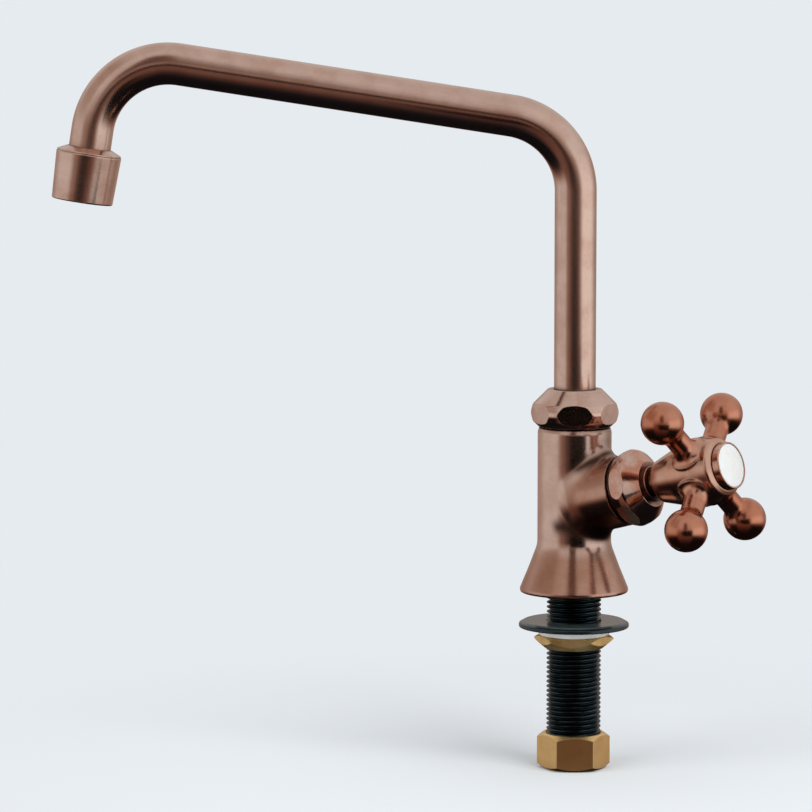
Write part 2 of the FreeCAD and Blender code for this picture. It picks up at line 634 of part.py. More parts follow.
def flow_straightener():
    """Round moulding with square cells that calm the jet, seen from below in the mouth."""
    bottom = SCREEN_END + REST_GAP
    height = INSERT_END - bottom
    inner = INSERT_RADIUS - STRAIGHTENER_WALL
    block = ring(inner, INSERT_RADIUS - TURN_GAP, bottom, INSERT_END)
    pitch = 2 * inner / CELL_COUNT
    ribs = []
    for i in range(1, CELL_COUNT):
        side = i * pitch - inner - CELL_RIB / 2
        ribs.append(Part.makeBox(2 * INSERT_RADIUS, CELL_RIB, height, Vector(-INSERT_RADIUS, side, bottom)))
        ribs.append(Part.makeBox(CELL_RIB, 2 * INSERT_RADIUS, height, Vector(side, -INSERT_RADIUS, bottom)))
    grid = ribs[0].fuse(ribs[1:]).common(rod(inner + RIB_ROOT, bottom, INSERT_END))
    return placed(block.fuse(grid).removeSplitter(), OUTLET)


def jumper_valve():
    """Loose brass disc with a guide stem on its outer side and a pin through its washer."""
    disc_radius = SEAT_BORE_RADIUS + SEAT_WALL + JUMPER_DISC_OVER
    disc = ring(0, disc_radius, JUMPER_DISC_REAR, JUMPER_DISC_FRONT, FINE_EDGE)
    stem_end = JUMPER_DISC_FRONT + JUMPER_STEM_LENGTH
    stem = ring(0, JUMPER_STEM_RADIUS, JUMPER_DISC_FRONT - FINE_EDGE, stem_end, FINE_EDGE)
    washer_rear = JUMPER_DISC_REAR - JUMPER_WASHER_HEIGHT
    pin = rod(JUMPER_PIN_RADIUS, washer_rear - JUMPER_NUT_HEIGHT - JUMPER_PIN_OVER, JUMPER_DISC_REAR + EDGE)
    return placed(disc.fuse([stem, pin]).removeSplitter(), VALVE)


def jumper_washer():
    """Rubber washer that shuts the seat."""
    radius = SEAT_BORE_RADIUS + SEAT_WALL
    rear = JUMPER_DISC_REAR - JUMPER_WASHER_HEIGHT
    washer = ring(JUMPER_PIN_RADIUS + REST_GAP, radius, rear, JUMPER_DISC_REAR - REST_GAP, FINE_EDGE)
    return placed(washer, VALVE)


def jumper_nut():
    """Small nut that holds the washer on the jumper's pin, inside the seat's bore."""
    front = JUMPER_DISC_REAR - JUMPER_WASHER_HEIGHT - REST_GAP
    rear = front - JUMPER_NUT_HEIGHT
    nut = hexagon(JUMPER_NUT_FLATS, rear, front)
    return placed(nut.cut(rod(JUMPER_PIN_RADIUS + REST_GAP, rear - OVERCUT, front + OVERCUT)), VALVE)


def square_bar(flats, bottom, top):
    """A square prism about Z."""
    return Part.makeBox(flats, flats, top - bottom, Vector(-flats / 2, -flats / 2, bottom))


def spindle():
    """Lifting thread, round stem and squared end, bored for the jumper's stem and the handle screw."""
    form = turned([
        (0, SPINDLE_REAR),
        (SPINDLE_RADIUS - SPINDLE_BEVEL, SPINDLE_REAR),
        (SPINDLE_RADIUS, SPINDLE_REAR + SPINDLE_BEVEL),
        (SPINDLE_RADIUS, SPINDLE_THREAD_END, EDGE),
        (STEM_RADIUS, SPINDLE_THREAD_END + SPINDLE_BEVEL, SPINDLE_ROUND),
        (STEM_RADIUS, DRIVE_REAR, FINE_EDGE),
        (0, DRIVE_REAR),
    ])
    drive = square_bar(DRIVE_FLATS, DRIVE_REAR - OVERCUT, DRIVE_FRONT)
    drive = drive.common(rod(STEM_RADIUS, DRIVE_REAR - OVERCUT, DRIVE_FRONT))
    guide_end = JUMPER_DISC_FRONT + JUMPER_STEM_LENGTH + JUMPER_GUIDE_PLAY
    guide = rod(JUMPER_STEM_RADIUS + TURN_GAP, SPINDLE_REAR - OVERCUT, guide_end)
    tapped = rod(SCREW_RADIUS + REST_GAP, WEB_FRONT - SCREW_LENGTH - TAP_PLAY, DRIVE_FRONT + OVERCUT)
    return placed(form.fuse(drive).cut([guide, tapped]).removeSplitter(), VALVE)


def bonnet_nut():
    """Barrel hexagon over the branch, with a small gland ring round the stem."""
    nut = barrel_nut(BRANCH_THREAD_RADIUS + BONNET_NUT_WALL, BONNET_NUT_BULGE, BONNET_NUT_REAR,
                     BONNET_NUT_MIDDLE, BONNET_NUT_DOME, STEM_RADIUS + BONNET_NUT_END, BONNET_NUT_TURN)
    gland = turned([
        (0, BONNET_NUT_FRONT - OVERCUT),
        (STEM_RADIUS + GLAND_RING_WIDTH, BONNET_NUT_FRONT - OVERCUT),
        (STEM_RADIUS + GLAND_RING_WIDTH, GLAND_RING_FRONT, GLAND_RING_EDGE),
        (0, GLAND_RING_FRONT),
    ])
    thread_end = PACKING_RING_END + REST_GAP
    thread = rod(BRANCH_THREAD_RADIUS + THREAD_GAP, BONNET_NUT_REAR - OVERCUT, thread_end)
    packing_room = turned(packing_outline(REST_GAP))
    stem_way = rod(STEM_HOLE + TURN_GAP, BRANCH_END, GLAND_RING_FRONT + OVERCUT)
    return placed(nut.fuse(gland).cut([thread, packing_room, stem_way]), VALVE)


def packing_outline(extra):
    """The coned packing's outline, grown by extra outside."""
    rear = PACKING_RING_END + REST_GAP - extra
    front = PACKING_RING_END + PACKING_HEIGHT + extra
    return [
        (STEM_HOLE, rear),
        (STEM_RADIUS + PACKING_WIDTH + extra, rear),
        (STEM_RADIUS + PACKING_WIDTH + extra, rear + PACKING_COLLAR),
        (STEM_RADIUS + PACKING_TIP + extra, front),
        (STEM_HOLE, front),
    ]


def packing_ring():
    """Flat ring on the branch's end that backs the packing."""
    outer = BRANCH_THREAD_RADIUS - PACKING_RING_INSET
    return placed(ring(STEM_HOLE, outer, BRANCH_END + REST_GAP, PACKING_RING_END, PACKING_RING_BEVEL), VALVE)


def stem_packing():
    """Coned rubber packing, squeezed on the stem by the bonnet nut."""
    return placed(turned(packing_outline(0.0)), VALVE)


def handle_arm():
    """One arm along Z from the hub: flared root, slim neck, and a ball that runs into the neck."""
    blend_radius = NECK_RADIUS + NECK_ROUND
    blend_back = math.sqrt((BALL_RADIUS + NECK_ROUND) ** 2 - blend_radius ** 2)
    share = BALL_RADIUS / (BALL_RADIUS + NECK_ROUND)
    neck_end = ARM_REACH - blend_back
    ball_touch = Vector(blend_radius * share, 0, ARM_REACH - blend_back * share)
    blend_angle = math.atan2(blend_back, blend_radius) / 2
    blend_middle = Vector(blend_radius - NECK_ROUND * math.cos(blend_angle), 0,
                          neck_end + NECK_ROUND * math.sin(blend_angle))
    ball_middle = Vector(BALL_RADIUS, 0, ARM_REACH)
    tip = Vector(0, 0, ARM_REACH + BALL_RADIUS)
    sweep = math.radians(ROOT_SWEEP_DEG)
    root_station = HUB_RADIUS - ROOT_SINK
    neck_start = root_station + ROOT_ROUND * math.sin(sweep)
    root_centre = NECK_RADIUS + ROOT_ROUND
    root = Vector(root_centre - ROOT_ROUND * math.cos(sweep), 0, root_station)
    root_middle = Vector(root_centre - ROOT_ROUND * math.cos(sweep / 2), 0,
                         neck_start - ROOT_ROUND * math.sin(sweep / 2))
    neck_low = Vector(NECK_RADIUS, 0, neck_start)
    neck_high = Vector(NECK_RADIUS, 0, neck_end)
    inside = ARM_START * HUB_RADIUS
    edges = [
        Part.LineSegment(Vector(0, 0, inside), Vector(root.x, 0, inside)).toShape(),
        Part.LineSegment(Vector(root.x, 0, inside), root).toShape(),
        Part.Arc(root, root_middle, neck_low).toShape(),
        Part.LineSegment(neck_low, neck_high).toShape(),
        Part.Arc(neck_high, blend_middle, ball_touch).toShape(),
        Part.Arc(ball_touch, ball_middle, tip).toShape(),
        Part.LineSegment(tip, Vector(0, 0, inside)).toShape(),
    ]
    return Part.Face(Part.Wire(edges)).revolve(Vector(0, 0, 0), Vector(0, 0, 1), 360)


def cross_handle():
    """Bell-shaped hub with ball-ended arms, a square drive behind and the button's recess in front."""
    hub = turned([
        (0, HUB_REAR),
        (HUB_REAR_RADIUS, HUB_REAR, HUB_REAR_ROUND),
        (HUB_RADIUS - HUB_SHOULDER_INSET, ARM_STATION - HUB_SHOULDER_BACK, HUB_SHOULDER_ROUND),
        (HUB_RADIUS, ARM_STATION, HUB_BELLY_ROUND),
        (HUB_FRONT_RADIUS, HUB_FRONT - HUB_FRONT_BEVEL, HUB_FRONT_ROUND),
        (BUTTON_RADIUS + BEZEL_WIDTH + HUB_FACE_STEP, HUB_FRONT, HUB_FACE_ROUND),
        (0, HUB_FRONT),
    ])
    arms = []
    for i in range(ARM_COUNT):
        arm = handle_arm()
        arm.rotate(Vector(0, 0, 0), Vector(0, 1, 0), 90)
        arm.rotate(Vector(0, 0, 0), Vector(0, 0, 1), 360 / ARM_COUNT * (i + 0.5))
        arm.translate(Vector(0, 0, ARM_STATION))
        arms.append(arm)
    stem_bore = rod(STEM_HOLE, HUB_REAR - OVERCUT, DRIVE_REAR + REST_GAP)
    drive_bore = square_bar(DRIVE_FLATS + 2 * REST_GAP, DRIVE_REAR - OVERCUT, WEB_REAR)
    drive_bore = drive_bore.common(rod(STEM_HOLE, DRIVE_REAR - OVERCUT, WEB_REAR))
    screw_hole = rod(SCREW_RADIUS + SCREW_HOLE_GAP, WEB_REAR - OVERCUT, WEB_FRONT + OVERCUT)
    recess = rod(BUTTON_RADIUS, WEB_FRONT, HUB_FRONT + OVERCUT)
    handle = hub.fuse(arms).cut([stem_bore, drive_bore, screw_hole, recess])
    return placed(handle.removeSplitter(), VALVE)


def handle_screw():
    """Slotted cheese-head screw that holds the handle on the spindle."""
    seat = WEB_FRONT + REST_GAP
    top = WEB_FRONT + SCREW_HEAD_HEIGHT
    head = ring(0, SCREW_HEAD_RADIUS, seat, top, EDGE)
    shank = rod(SCREW_RADIUS, WEB_FRONT - SCREW_LENGTH, seat + EDGE)
    slot_length = 2 * (SCREW_HEAD_RADIUS + OVERCUT)
    corner = Vector(-slot_length / 2, -SCREW_SLOT / 2, top - SCREW_SLOT_DEPTH)
    slot = Part.makeBox(slot_length, SCREW_SLOT, SCREW_SLOT_DEPTH + OVERCUT, corner)
    return placed(head.fuse(shank).cut(slot).removeSplitter(), VALVE)


def button_bezel():
    """Metal cup that plugs into the hub and frames the button."""
    plug = BUTTON_RADIUS - REST_GAP
    inner = BUTTON_RADIUS + REST_GAP
    outer = BUTTON_RADIUS + BEZEL_WIDTH
    front = HUB_FRONT + BEZEL_HEIGHT
    cup = turned([
        (0, HUB_FRONT - PLUG_FLOOR),
        (plug, HUB_FRONT - PLUG_FLOOR),
        (plug, HUB_FRONT + REST_GAP),
        (outer, HUB_FRONT + REST_GAP, FINE_EDGE),
        (outer, front, EDGE),
        (inner, front, BEZEL_ROUND),
        (inner, HUB_FRONT + BEZEL_FLOOR),
        (0, HUB_FRONT + BEZEL_FLOOR),
    ])
    skirt = ring(plug - PLUG_WALL, plug, HUB_FRONT - PLUG_LENGTH, HUB_FRONT)
    return placed(cup.fuse(skirt).removeSplitter(), VALVE)


def index_button():
    """White disc with a low crown, set in the bezel."""
    rear = HUB_FRONT + BEZEL_FLOOR + REST_GAP
    edge = HUB_FRONT + BEZEL_HEIGHT - BUTTON_SINK
    crown_radius = (BUTTON_RADIUS ** 2 + BUTTON_CROWN ** 2) / (2 * BUTTON_CROWN)
    crown = Part.makeSphere(crown_radius, Vector(0, 0, edge + BUTTON_CROWN - crown_radius))
    disc = rod(BUTTON_RADIUS, rear, edge + BUTTON_CROWN + OVERCUT)
    return placed(disc.common(crown), VALVE)


def threaded_shank():
    """Hollow shank, drawn at its crest diameter, screwed into the body's foot."""
    return ring(SHANK_BORE, SHANK_RADIUS, SHANK_BOTTOM, SOCKET_DEPTH - SHANK_PLAY, EDGE)


def deck_gasket():
    """Thick rubber washer with a sloping band round its top, which meets the deck from below."""
    return turned([
        (CLAMP_HOLE, GASKET_BOTTOM),
        (GASKET_RADIUS, GASKET_BOTTOM, GASKET_EDGE),
        (GASKET_RADIUS, GASKET_TOP - GASKET_TAPER_DROP, GASKET_TAPER_ROUND),
        (GASKET_RADIUS - GASKET_TAPER, GASKET_TOP, GASKET_TAPER_ROUND),
        (CLAMP_HOLE, GASKET_TOP),
    ])


def clamp_washer():
    """White spacer ring between the gasket and the lock nut."""
    bottom = CLAMP_WASHER_TOP - CLAMP_WASHER_HEIGHT
    return ring(CLAMP_HOLE, SHANK_RADIUS + CLAMP_WASHER_WIDTH, bottom, CLAMP_WASHER_TOP, FINE_EDGE)


def coned_nut(half_flats, bottom, low_radius, low_cone, top, top_radius, top_cone, turn):
    """A hexagon whose corners are turned off to a cone at both ends."""
    corner = half_flats / math.cos(math.radians(30))
    form = turned([
        (0, bottom),
        (low_radius, bottom),
        (corner, bottom + low_cone),
        (corner, top - top_cone),
        (top_radius, top),
        (0, top),
    ])
    return form.common(hexagon(2 * half_flats, bottom - OVERCUT, top + OVERCUT, turn))


def lock_nut():
    """Thin hexagon that clamps the tap to its deck, with a long cone below."""
    bottom = LOCK_NUT_TOP - LOCK_NUT_HEIGHT
    nut = coned_nut(SHANK_RADIUS + LOCK_NUT_WALL, bottom, SHANK_RADIUS + LOCK_NUT_FOOT_WIDTH, LOCK_NUT_CONE,
                    LOCK_NUT_TOP, SHANK_RADIUS + LOCK_NUT_TOP_WIDTH, LOCK_NUT_TOP_CHAMFER, LOCK_NUT_TURN)
    return nut.cut(rod(SHANK_RADIUS + TURN_GAP, bottom - OVERCUT, LOCK_NUT_TOP + OVERCUT))


def tail_nut():
    """Tall hexagon that joins the supply pipe to the shank, with a lip below its packing."""
    top = TAIL_NUT_BOTTOM + TAIL_NUT_HEIGHT
    end_radius = SHANK_RADIUS + TAIL_NUT_END_WIDTH
    nut = coned_nut(SHANK_RADIUS + TAIL_NUT_WALL, TAIL_NUT_BOTTOM, end_radius, TAIL_NUT_LOW_CHAMFER,
                    top, end_radius, TAIL_NUT_TOP_CHAMFER, TAIL_NUT_TURN)
    thread = rod(SHANK_RADIUS + THREAD_GAP, TAIL_PACKING_BOTTOM - REST_GAP, top + OVERCUT)
    mouth = rod(TAIL_MOUTH_RADIUS, TAIL_NUT_BOTTOM - OVERCUT, top)
    return nut.cut([thread, mouth])


def tail_packing():
    """Flat rubber ring between the shank's end and the tail nut's lip."""
    top = TAIL_PACKING_BOTTOM + TAIL_PACKING_HEIGHT
    return ring(SHANK_BORE, SHANK_RADIUS - TAIL_PACKING_INSET, TAIL_PACKING_BOTTOM, top)


PIECES = {
    "tap_body": tap_body,
    "spout_nut": spout_nut,
    "slip_washer": slip_washer,
    "lip_seal": lip_seal,
    "snap_ring": snap_ring,
    "spout_pipe": spout_pipe,
    "outlet_collar": outlet_collar,
    "outlet_cap": outlet_cap,
    "outlet_seal": outlet_seal,
    "outlet_screen": outlet_screen,
    "flow_straightener": flow_straightener,
    "jumper_valve": jumper_valve,
    "jumper_washer": jumper_washer,
    "jumper_nut": jumper_nut,
    "spindle": spindle,
    "bonnet_nut": bonnet_nut,
    "packing_ring": packing_ring,
    "stem_packing": stem_packing,
    "cross_handle": cross_handle,
    "handle_screw": handle_screw,
    "button_bezel": button_bezel,
    "index_button": index_button,
    "threaded_shank": threaded_shank,
    "deck_gasket": deck_gasket,
    "clamp_washer": clamp_washer,
    "lock_nut": lock_nut,
    "tail_nut": tail_nut,
    "tail_packing": tail_packing,
}


def main():
    os.makedirs("parts", exist_ok=True)
    for name, make in PIECES.items():
        shape = make()
        solids = shape.Solids
        if len(solids) != 1 or not shape.isValid():
            raise ValueError(f"{name} has {len(solids)} solids, valid {shape.isValid()}")
        solids[0].exportStep(os.path.join("parts", name + ".step"))
        print(f"{name}: {solids[0].Volume:.0f} mm3, {len(solids[0].Faces)} faces")


main()
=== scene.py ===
"""Looks of a swivel spout pillar tap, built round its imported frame.

Brushed antique copper on the body, spout and nuts, redder copper on the handle, turned brass below the
deck, a black threaded shank, rubber and plastic washers and a white button, on a pale studio floor.
Lengths are metres, in the frame's own axes: +Z up, the spout along -X.
"""

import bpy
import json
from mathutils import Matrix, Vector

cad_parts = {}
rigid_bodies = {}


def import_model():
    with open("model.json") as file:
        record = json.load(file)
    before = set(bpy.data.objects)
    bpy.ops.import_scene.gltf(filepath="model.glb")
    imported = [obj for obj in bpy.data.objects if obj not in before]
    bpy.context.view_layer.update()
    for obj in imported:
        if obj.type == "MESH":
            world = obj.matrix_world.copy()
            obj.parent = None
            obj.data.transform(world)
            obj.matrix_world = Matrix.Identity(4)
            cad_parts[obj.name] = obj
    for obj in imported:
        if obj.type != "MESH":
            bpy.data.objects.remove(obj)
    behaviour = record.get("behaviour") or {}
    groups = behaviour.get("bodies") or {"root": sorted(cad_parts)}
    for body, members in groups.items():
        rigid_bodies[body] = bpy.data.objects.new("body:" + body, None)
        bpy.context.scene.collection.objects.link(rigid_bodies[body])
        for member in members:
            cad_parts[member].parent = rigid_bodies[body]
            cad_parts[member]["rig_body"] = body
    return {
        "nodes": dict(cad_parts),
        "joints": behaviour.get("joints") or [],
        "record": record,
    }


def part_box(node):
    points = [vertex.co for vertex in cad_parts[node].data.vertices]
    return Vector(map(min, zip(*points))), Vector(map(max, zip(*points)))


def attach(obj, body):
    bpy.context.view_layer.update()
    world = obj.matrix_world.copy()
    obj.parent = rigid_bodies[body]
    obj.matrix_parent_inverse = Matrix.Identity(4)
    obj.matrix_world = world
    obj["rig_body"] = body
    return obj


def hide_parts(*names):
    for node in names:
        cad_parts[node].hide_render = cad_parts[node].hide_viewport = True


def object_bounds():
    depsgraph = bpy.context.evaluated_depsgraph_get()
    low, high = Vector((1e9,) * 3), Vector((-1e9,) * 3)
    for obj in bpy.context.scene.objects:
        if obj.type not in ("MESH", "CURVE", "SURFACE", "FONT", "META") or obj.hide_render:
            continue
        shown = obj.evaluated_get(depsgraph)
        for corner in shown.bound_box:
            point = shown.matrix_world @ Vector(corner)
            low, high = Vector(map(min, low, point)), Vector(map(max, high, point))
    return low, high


bl_info = {
    "name": "Pillar Tap Looks",
    "version": (1, 0, 0),
    "blender": (4, 5, 0),
    "location": "3D View > Sidebar > Pillar Tap",
    "description": "Models and finishes a swivel spout pillar tap round its packed frame",
    "category": "Add Mesh",
}

import json
import math

import bmesh
import bpy
from bpy.props import FloatProperty, FloatVectorProperty, IntProperty, PointerProperty
from mathutils import Vector

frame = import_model()
NODES = frame["nodes"]
JOINTS = {joint["name"]: joint for joint in frame["joints"]}
CAD_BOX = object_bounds()
MM = 0.001

# Directions and points, most of them from the frame: the valve's axis outwards, and the outlet's upwards
UP = Vector((0, 0, 1))
VALVE_AXIS = Vector(JOINTS["valve_lift"]["axis"])
VALVE_POINT = Vector(JOINTS["handle_turn"]["pos_m"])
OUTLET_MOUNT = next(m for m in frame["record"]["mounts"] if m["name"] == "outlet")
OUTLET_AXIS = -Vector(OUTLET_MOUNT["axis"])
OUTLET_POINT = Vector(OUTLET_MOUNT["pos_m"]) - OUTLET_AXIS * OUTLET_MOUNT["dims"]["length_mm"] * MM / 2


def select_none():
    """Leaves no piece selected."""
    bpy.ops.object.select_all(action="DESELECT")


def edit_all():
    """Opens the active piece's mesh with all of it selected."""
    bpy.ops.object.mode_set(mode="EDIT")
    bpy.ops.mesh.select_all(action="SELECT")


def edit_done():
    """Closes the mesh again."""
    bpy.ops.object.mode_set(mode="OBJECT")


# Small helpers for node trees

def add(tree, kind, inputs=None, **settings):
    """A shader node with its settings and inputs. An input that is given a socket is linked to it."""
    made = tree.nodes.new("ShaderNode" + kind)
    for name, value in settings.items():
        setattr(made, name, value)
    for name, value in (inputs or {}).items():
        if isinstance(value, bpy.types.NodeSocket):
            tree.links.new(value, made.inputs[name])
        else:
            made.inputs[name].default_value = value
    return made


def maths(tree, operation, first, second=0.0, clamp=False):
    """What the operation makes of two numbers or sockets."""
    made = add(tree, "Math", {0: first, 1: second}, operation=operation, use_clamp=clamp)
    return made.outputs[0]


def times(tree, first, second):
    """The product of two numbers or sockets."""
    return maths(tree, "MULTIPLY", first, second)


def plus(tree, total, value, share):
    """The total with this share of a value added to it."""
    return maths(tree, "ADD", total, times(tree, value, share))


def between(tree, share, first, second):
    """A number between two numbers or sockets."""
    return add(tree, "Mix", {0: share, 2: first, 3: second}).outputs[0]


def smooth(tree, value, start, end):
    """0 at start and 1 at end, with soft ends."""
    ramp = {"Value": value, "From Min": start, "From Max": end}
    return add(tree, "MapRange", ramp, interpolation_type="SMOOTHSTEP").outputs["Result"]


def blend(tree, share, first, second):
    """A colour between two colours or colour sockets."""
    mixed = add(tree, "Mix", data_type="RGBA")
    for socket, value in ((mixed.inputs[0], share), (mixed.inputs[6], first), (mixed.inputs[7], second)):
        if isinstance(value, bpy.types.NodeSocket):
            tree.links.new(value, socket)
        elif isinstance(value, (int, float)):
            socket.default_value = value
        else:
            socket.default_value = (*value[:3], 1.0)
    return mixed.outputs[2]


def noise(tree, vector, scale, detail=3.0, roughness=0.5):
    """Noise from 0 to 1, with this many features to the metre."""
    settings = {"Vector": vector, "Scale": scale, "Detail": detail, "Roughness": roughness}
    return add(tree, "TexNoise", settings).outputs["Fac"]


def new_material(name):
    """A material with its node tree and its one shader."""
    material = bpy.data.materials.new(name)
    material.use_nodes = True
    tree = material.node_tree
    return material, tree, tree.nodes["Principled BSDF"]


def object_point(tree, axis=UP, centre=(0, 0, 0)):
    """The piece's own coordinates, turned so that Z runs along its turning axis."""
    place = add(tree, "TexCoord").outputs["Object"]
    turn = Vector(axis).to_track_quat("Z", "Y").to_euler()
    settings = {"Vector": place, "Location": centre, "Rotation": turn}
    return add(tree, "Mapping", settings, vector_type="TEXTURE").outputs[0]


def radius_of(tree, point):
    """Distance from the turning axis."""
    parts = add(tree, "SeparateXYZ", {0: point})
    flat = add(tree, "CombineXYZ", {0: parts.outputs[0], 1: parts.outputs[1]})
    return add(tree, "VectorMath", {0: flat.outputs[0]}, operation="LENGTH").outputs["Value"]


def rounded_normal(tree, radius, samples=6):
    """The surface's direction as if its edges were rounded by this radius."""
    return add(tree, "Bevel", {"Radius": radius}, samples=samples).outputs["Normal"]


# A proud edge: its width, the turn from the flat to the rounded surface as a cosine, and its open sky
EDGE_WIDTH = 0.5 * MM
EDGE_TURN = (0.995, 0.90)
EDGE_SKY = (0.60, 0.90)


def edges_and_hollows(tree, around, sheltered):
    """Two numbers: how much a spot is a proud edge, and how much it sits in a hollow or beside a seam."""
    both = {0: rounded_normal(tree, EDGE_WIDTH), 1: add(tree, "NewGeometry").outputs["Normal"]}
    closeness = add(tree, "VectorMath", both, operation="DOT_PRODUCT").outputs["Value"]
    # The hollow number, from ambient occlusion, darkens hollows, seams and undersides: patina and painted
    # shade
    open_sky = add(tree, "AmbientOcclusion", {"Distance": around}, samples=8).outputs["AO"]
    edge = times(tree, smooth(tree, closeness, *EDGE_TURN), smooth(tree, open_sky, *EDGE_SKY))
    return edge, smooth(tree, open_sky, *sheltered)


def bumpy(tree, shader, height, strength, distance, normal=None):
    """Raises the shader's surface by this height socket, over a normal if one is given."""
    bump = add(tree, "Bump", {"Height": height, "Strength": strength, "Distance": distance})
    if normal:
        tree.links.new(normal, bump.inputs["Normal"])
    tree.links.new(bump.outputs["Normal"], shader.inputs["Normal"])


def patchy_roughness(tree, shader, clouds, share, least):
    """Roughness from least upwards, with this share of the clouds."""
    tree.links.new(plus(tree, least, clouds, share), shader.inputs["Roughness"])


def tint(tree, shader, colour):
    """Gives the shader this colour socket."""
    tree.links.new(colour, shader.inputs["Base Color"])


def mix_shaders(tree, share, first, second):
    """A node between the shaders of two nodes."""
    return add(tree, "MixShader", {0: share, 1: first.outputs[0], 2: second.outputs[0]})


# Finishes

# Brass in pale and deep, steel in pale, deep and dark, the dark one for patina and painted shade in its
# hollows, and rubber and plastic in two shades
LOCK_BRASS = ((0.92, 0.68, 0.33), (0.62, 0.36, 0.10))
STEEL = ((0.72, 0.71, 0.69), (0.55, 0.54, 0.52), (0.20, 0.19, 0.18))
GASKET_RUBBER = ((0.040, 0.056, 0.056), (0.058, 0.076, 0.076))
# Near black for the gasket's sloping rim: painted shade
GASKET_RIM_SHADE = (0.005, 0.010, 0.013)
SEAL_RUBBER = ((0.03, 0.03, 0.032), (0.05, 0.05, 0.052))
WASHER_PLASTIC = ((0.84, 0.83, 0.78), (0.78, 0.77, 0.71))
RING_PLASTIC = ((0.85, 0.85, 0.82), (0.78, 0.78, 0.74))
THREAD_ROOT = (0.012, 0.024, 0.030)
THREAD_CREST = (0.085, 0.12, 0.135)
GLAZE_WARMTH = (0.97, 0.96, 0.93)

# Where the gasket's rim, darkened as painted shade, begins and how softly, and the radii between which
# the thread is rubbed
GASKET_RIM_RADIUS = 20.2 * MM
RIM_FADE = 0.2 * MM
THREAD_RUBBED = (9.9 * MM, 10.45 * MM)

# Brush lines to the metre, along and across the lines, on the turned pieces and on the tube
LINES_ALONG, LINES_ACROSS = 60.0, 5200.0
TUBE_LINES_ALONG, TUBE_LINES_ACROSS = 90.0, 4200.0

# Noise values between which the metal's patches, lines and specks begin and are full
PATCHES = (0.36, 0.70)
LINES = (0.45, 0.75)
SPECKS = (0.60, 0.78)

# How much lines and specks deepen the metal's colour, how much of that is left where a piece deepens it
# by place, and how much its edges are rubbed pale
LINE_DEPTH = 0.14
SPECK_DEPTH = 0.15
DEPTH_LEFT = 0.6
EDGE_RUB = 0.6

# How much lines, depth and hollows dull the metal, and how deep its lines are
LINE_DULLNESS = 0.12
DEPTH_DULLNESS = 0.05
HOLLOW_DULLNESS = 0.15
LINE_STRENGTH = 0.06
LINE_HEIGHT = 0.02 * MM

# How little of the crook's painted shade is left between its patches, and the noise values where they lie
CROOK_LEAST = 0.8
CROOK_PATCHES = (0.25, 0.55)

# How much clouds dull rubber and plastic
MOULD_DULLNESS = 0.16


def brush_lines(tree, point, uv):
    """Fine lines round the turning axis, or along the tube where the piece has a UV map."""
    if uv:
        place = add(tree, "UVMap", uv_map=uv).outputs["UV"]
        stretch = (TUBE_LINES_ALONG, TUBE_LINES_ACROSS, 1.0)
    else:
        place = point
        stretch = (LINES_ALONG, LINES_ALONG, LINES_ACROSS)
    drawn_out = add(tree, "Mapping", {"Vector": place, "Scale": stretch}).outputs[0]
    return noise(tree, drawn_out, scale=1.0, detail=5.0, roughness=0.62)


def painted_crook_shade(tree, clouds):
    """Painted shade where the piece's crook values are high, a little patchy."""
    crook = add(tree, "Attribute", attribute_name="crook").outputs["Fac"]
    return times(tree, crook, plus(tree, CROOK_LEAST, smooth(tree, clouds, *CROOK_PATCHES), 1 - CROOK_LEAST))


def brushed_metal(name, colours, axis=UP, centre=(0, 0, 0), gloss=0.24, patina=0.5, soften=0.3 * MM,
                  uv=None, deeper=None, hollows=0.85, around=9.0 * MM, sheltered=(0.88, 0.38), metal=1.0,
                  crook=False):
    """Plated metal brushed round its turning axis, or along its UV map: pale where it is rubbed, deeper in
    cloudy patches and fine lines, dark in the hollows as patina and painted shade, and bright on its edges.
    It also grows deeper where the function named by deeper says so, and has painted shade where the
    piece's own crook values say so."""
    pale, deep, dark = colours
    material, tree, shader = new_material(name)
    point = object_point(tree, axis, centre)
    lines = brush_lines(tree, point, uv)
    clouds = noise(tree, point, scale=85.0, detail=4.0, roughness=0.6)
    specks = noise(tree, point, scale=620.0, detail=2.0)
    edge, hollow = edges_and_hollows(tree, around, sheltered)
    # The crook's painted shade joins the hollows' darkening
    if crook:
        hollow = maths(tree, "MAXIMUM", hollow, painted_crook_shade(tree, clouds))
    depth = times(tree, smooth(tree, clouds, *PATCHES), patina)
    depth = plus(tree, depth, smooth(tree, lines, *LINES), LINE_DEPTH)
    depth = plus(tree, depth, smooth(tree, specks, *SPECKS), SPECK_DEPTH)
    if deeper:
        depth = plus(tree, deeper(tree, point), depth, DEPTH_LEFT)
    depth = maths(tree, "SUBTRACT", depth, times(tree, edge, EDGE_RUB), clamp=True)
    colour = blend(tree, depth, pale, deep)
    # Patina and painted shade in the hollows, and painted shade in the crook, darken the colour towards dark
    tint(tree, shader, blend(tree, times(tree, hollow, hollows), colour, dark))
    rough = plus(tree, gloss - LINE_DULLNESS / 2, lines, LINE_DULLNESS)
    rough = plus(tree, rough, depth, DEPTH_DULLNESS)
    tree.links.new(plus(tree, rough, hollow, HOLLOW_DULLNESS), shader.inputs["Roughness"])
    bumpy(tree, shader, lines, LINE_STRENGTH, LINE_HEIGHT, rounded_normal(tree, soften))
    shader.inputs["Metallic"].default_value = metal
    return material


def black_coating(name):
    """Black finish on a thread: dull in the roots and rubbed grey on the crests."""
    material, tree, shader = new_material(name)
    point = object_point(tree)
    clouds = noise(tree, point, scale=220.0, detail=4.0)
    crest = smooth(tree, radius_of(tree, point), *THREAD_RUBBED)
    rubbed = times(tree, crest, smooth(tree, clouds, start=0.30, end=0.65))
    tint(tree, shader, blend(tree, rubbed, THREAD_ROOT, THREAD_CREST))
    patchy_roughness(tree, shader, clouds, share=0.18, least=0.26)
    bumpy(tree, shader, noise(tree, point, scale=2600.0), strength=0.15, distance=0.03 * MM)
    shader.inputs["Metallic"].default_value = 1.0
    return material


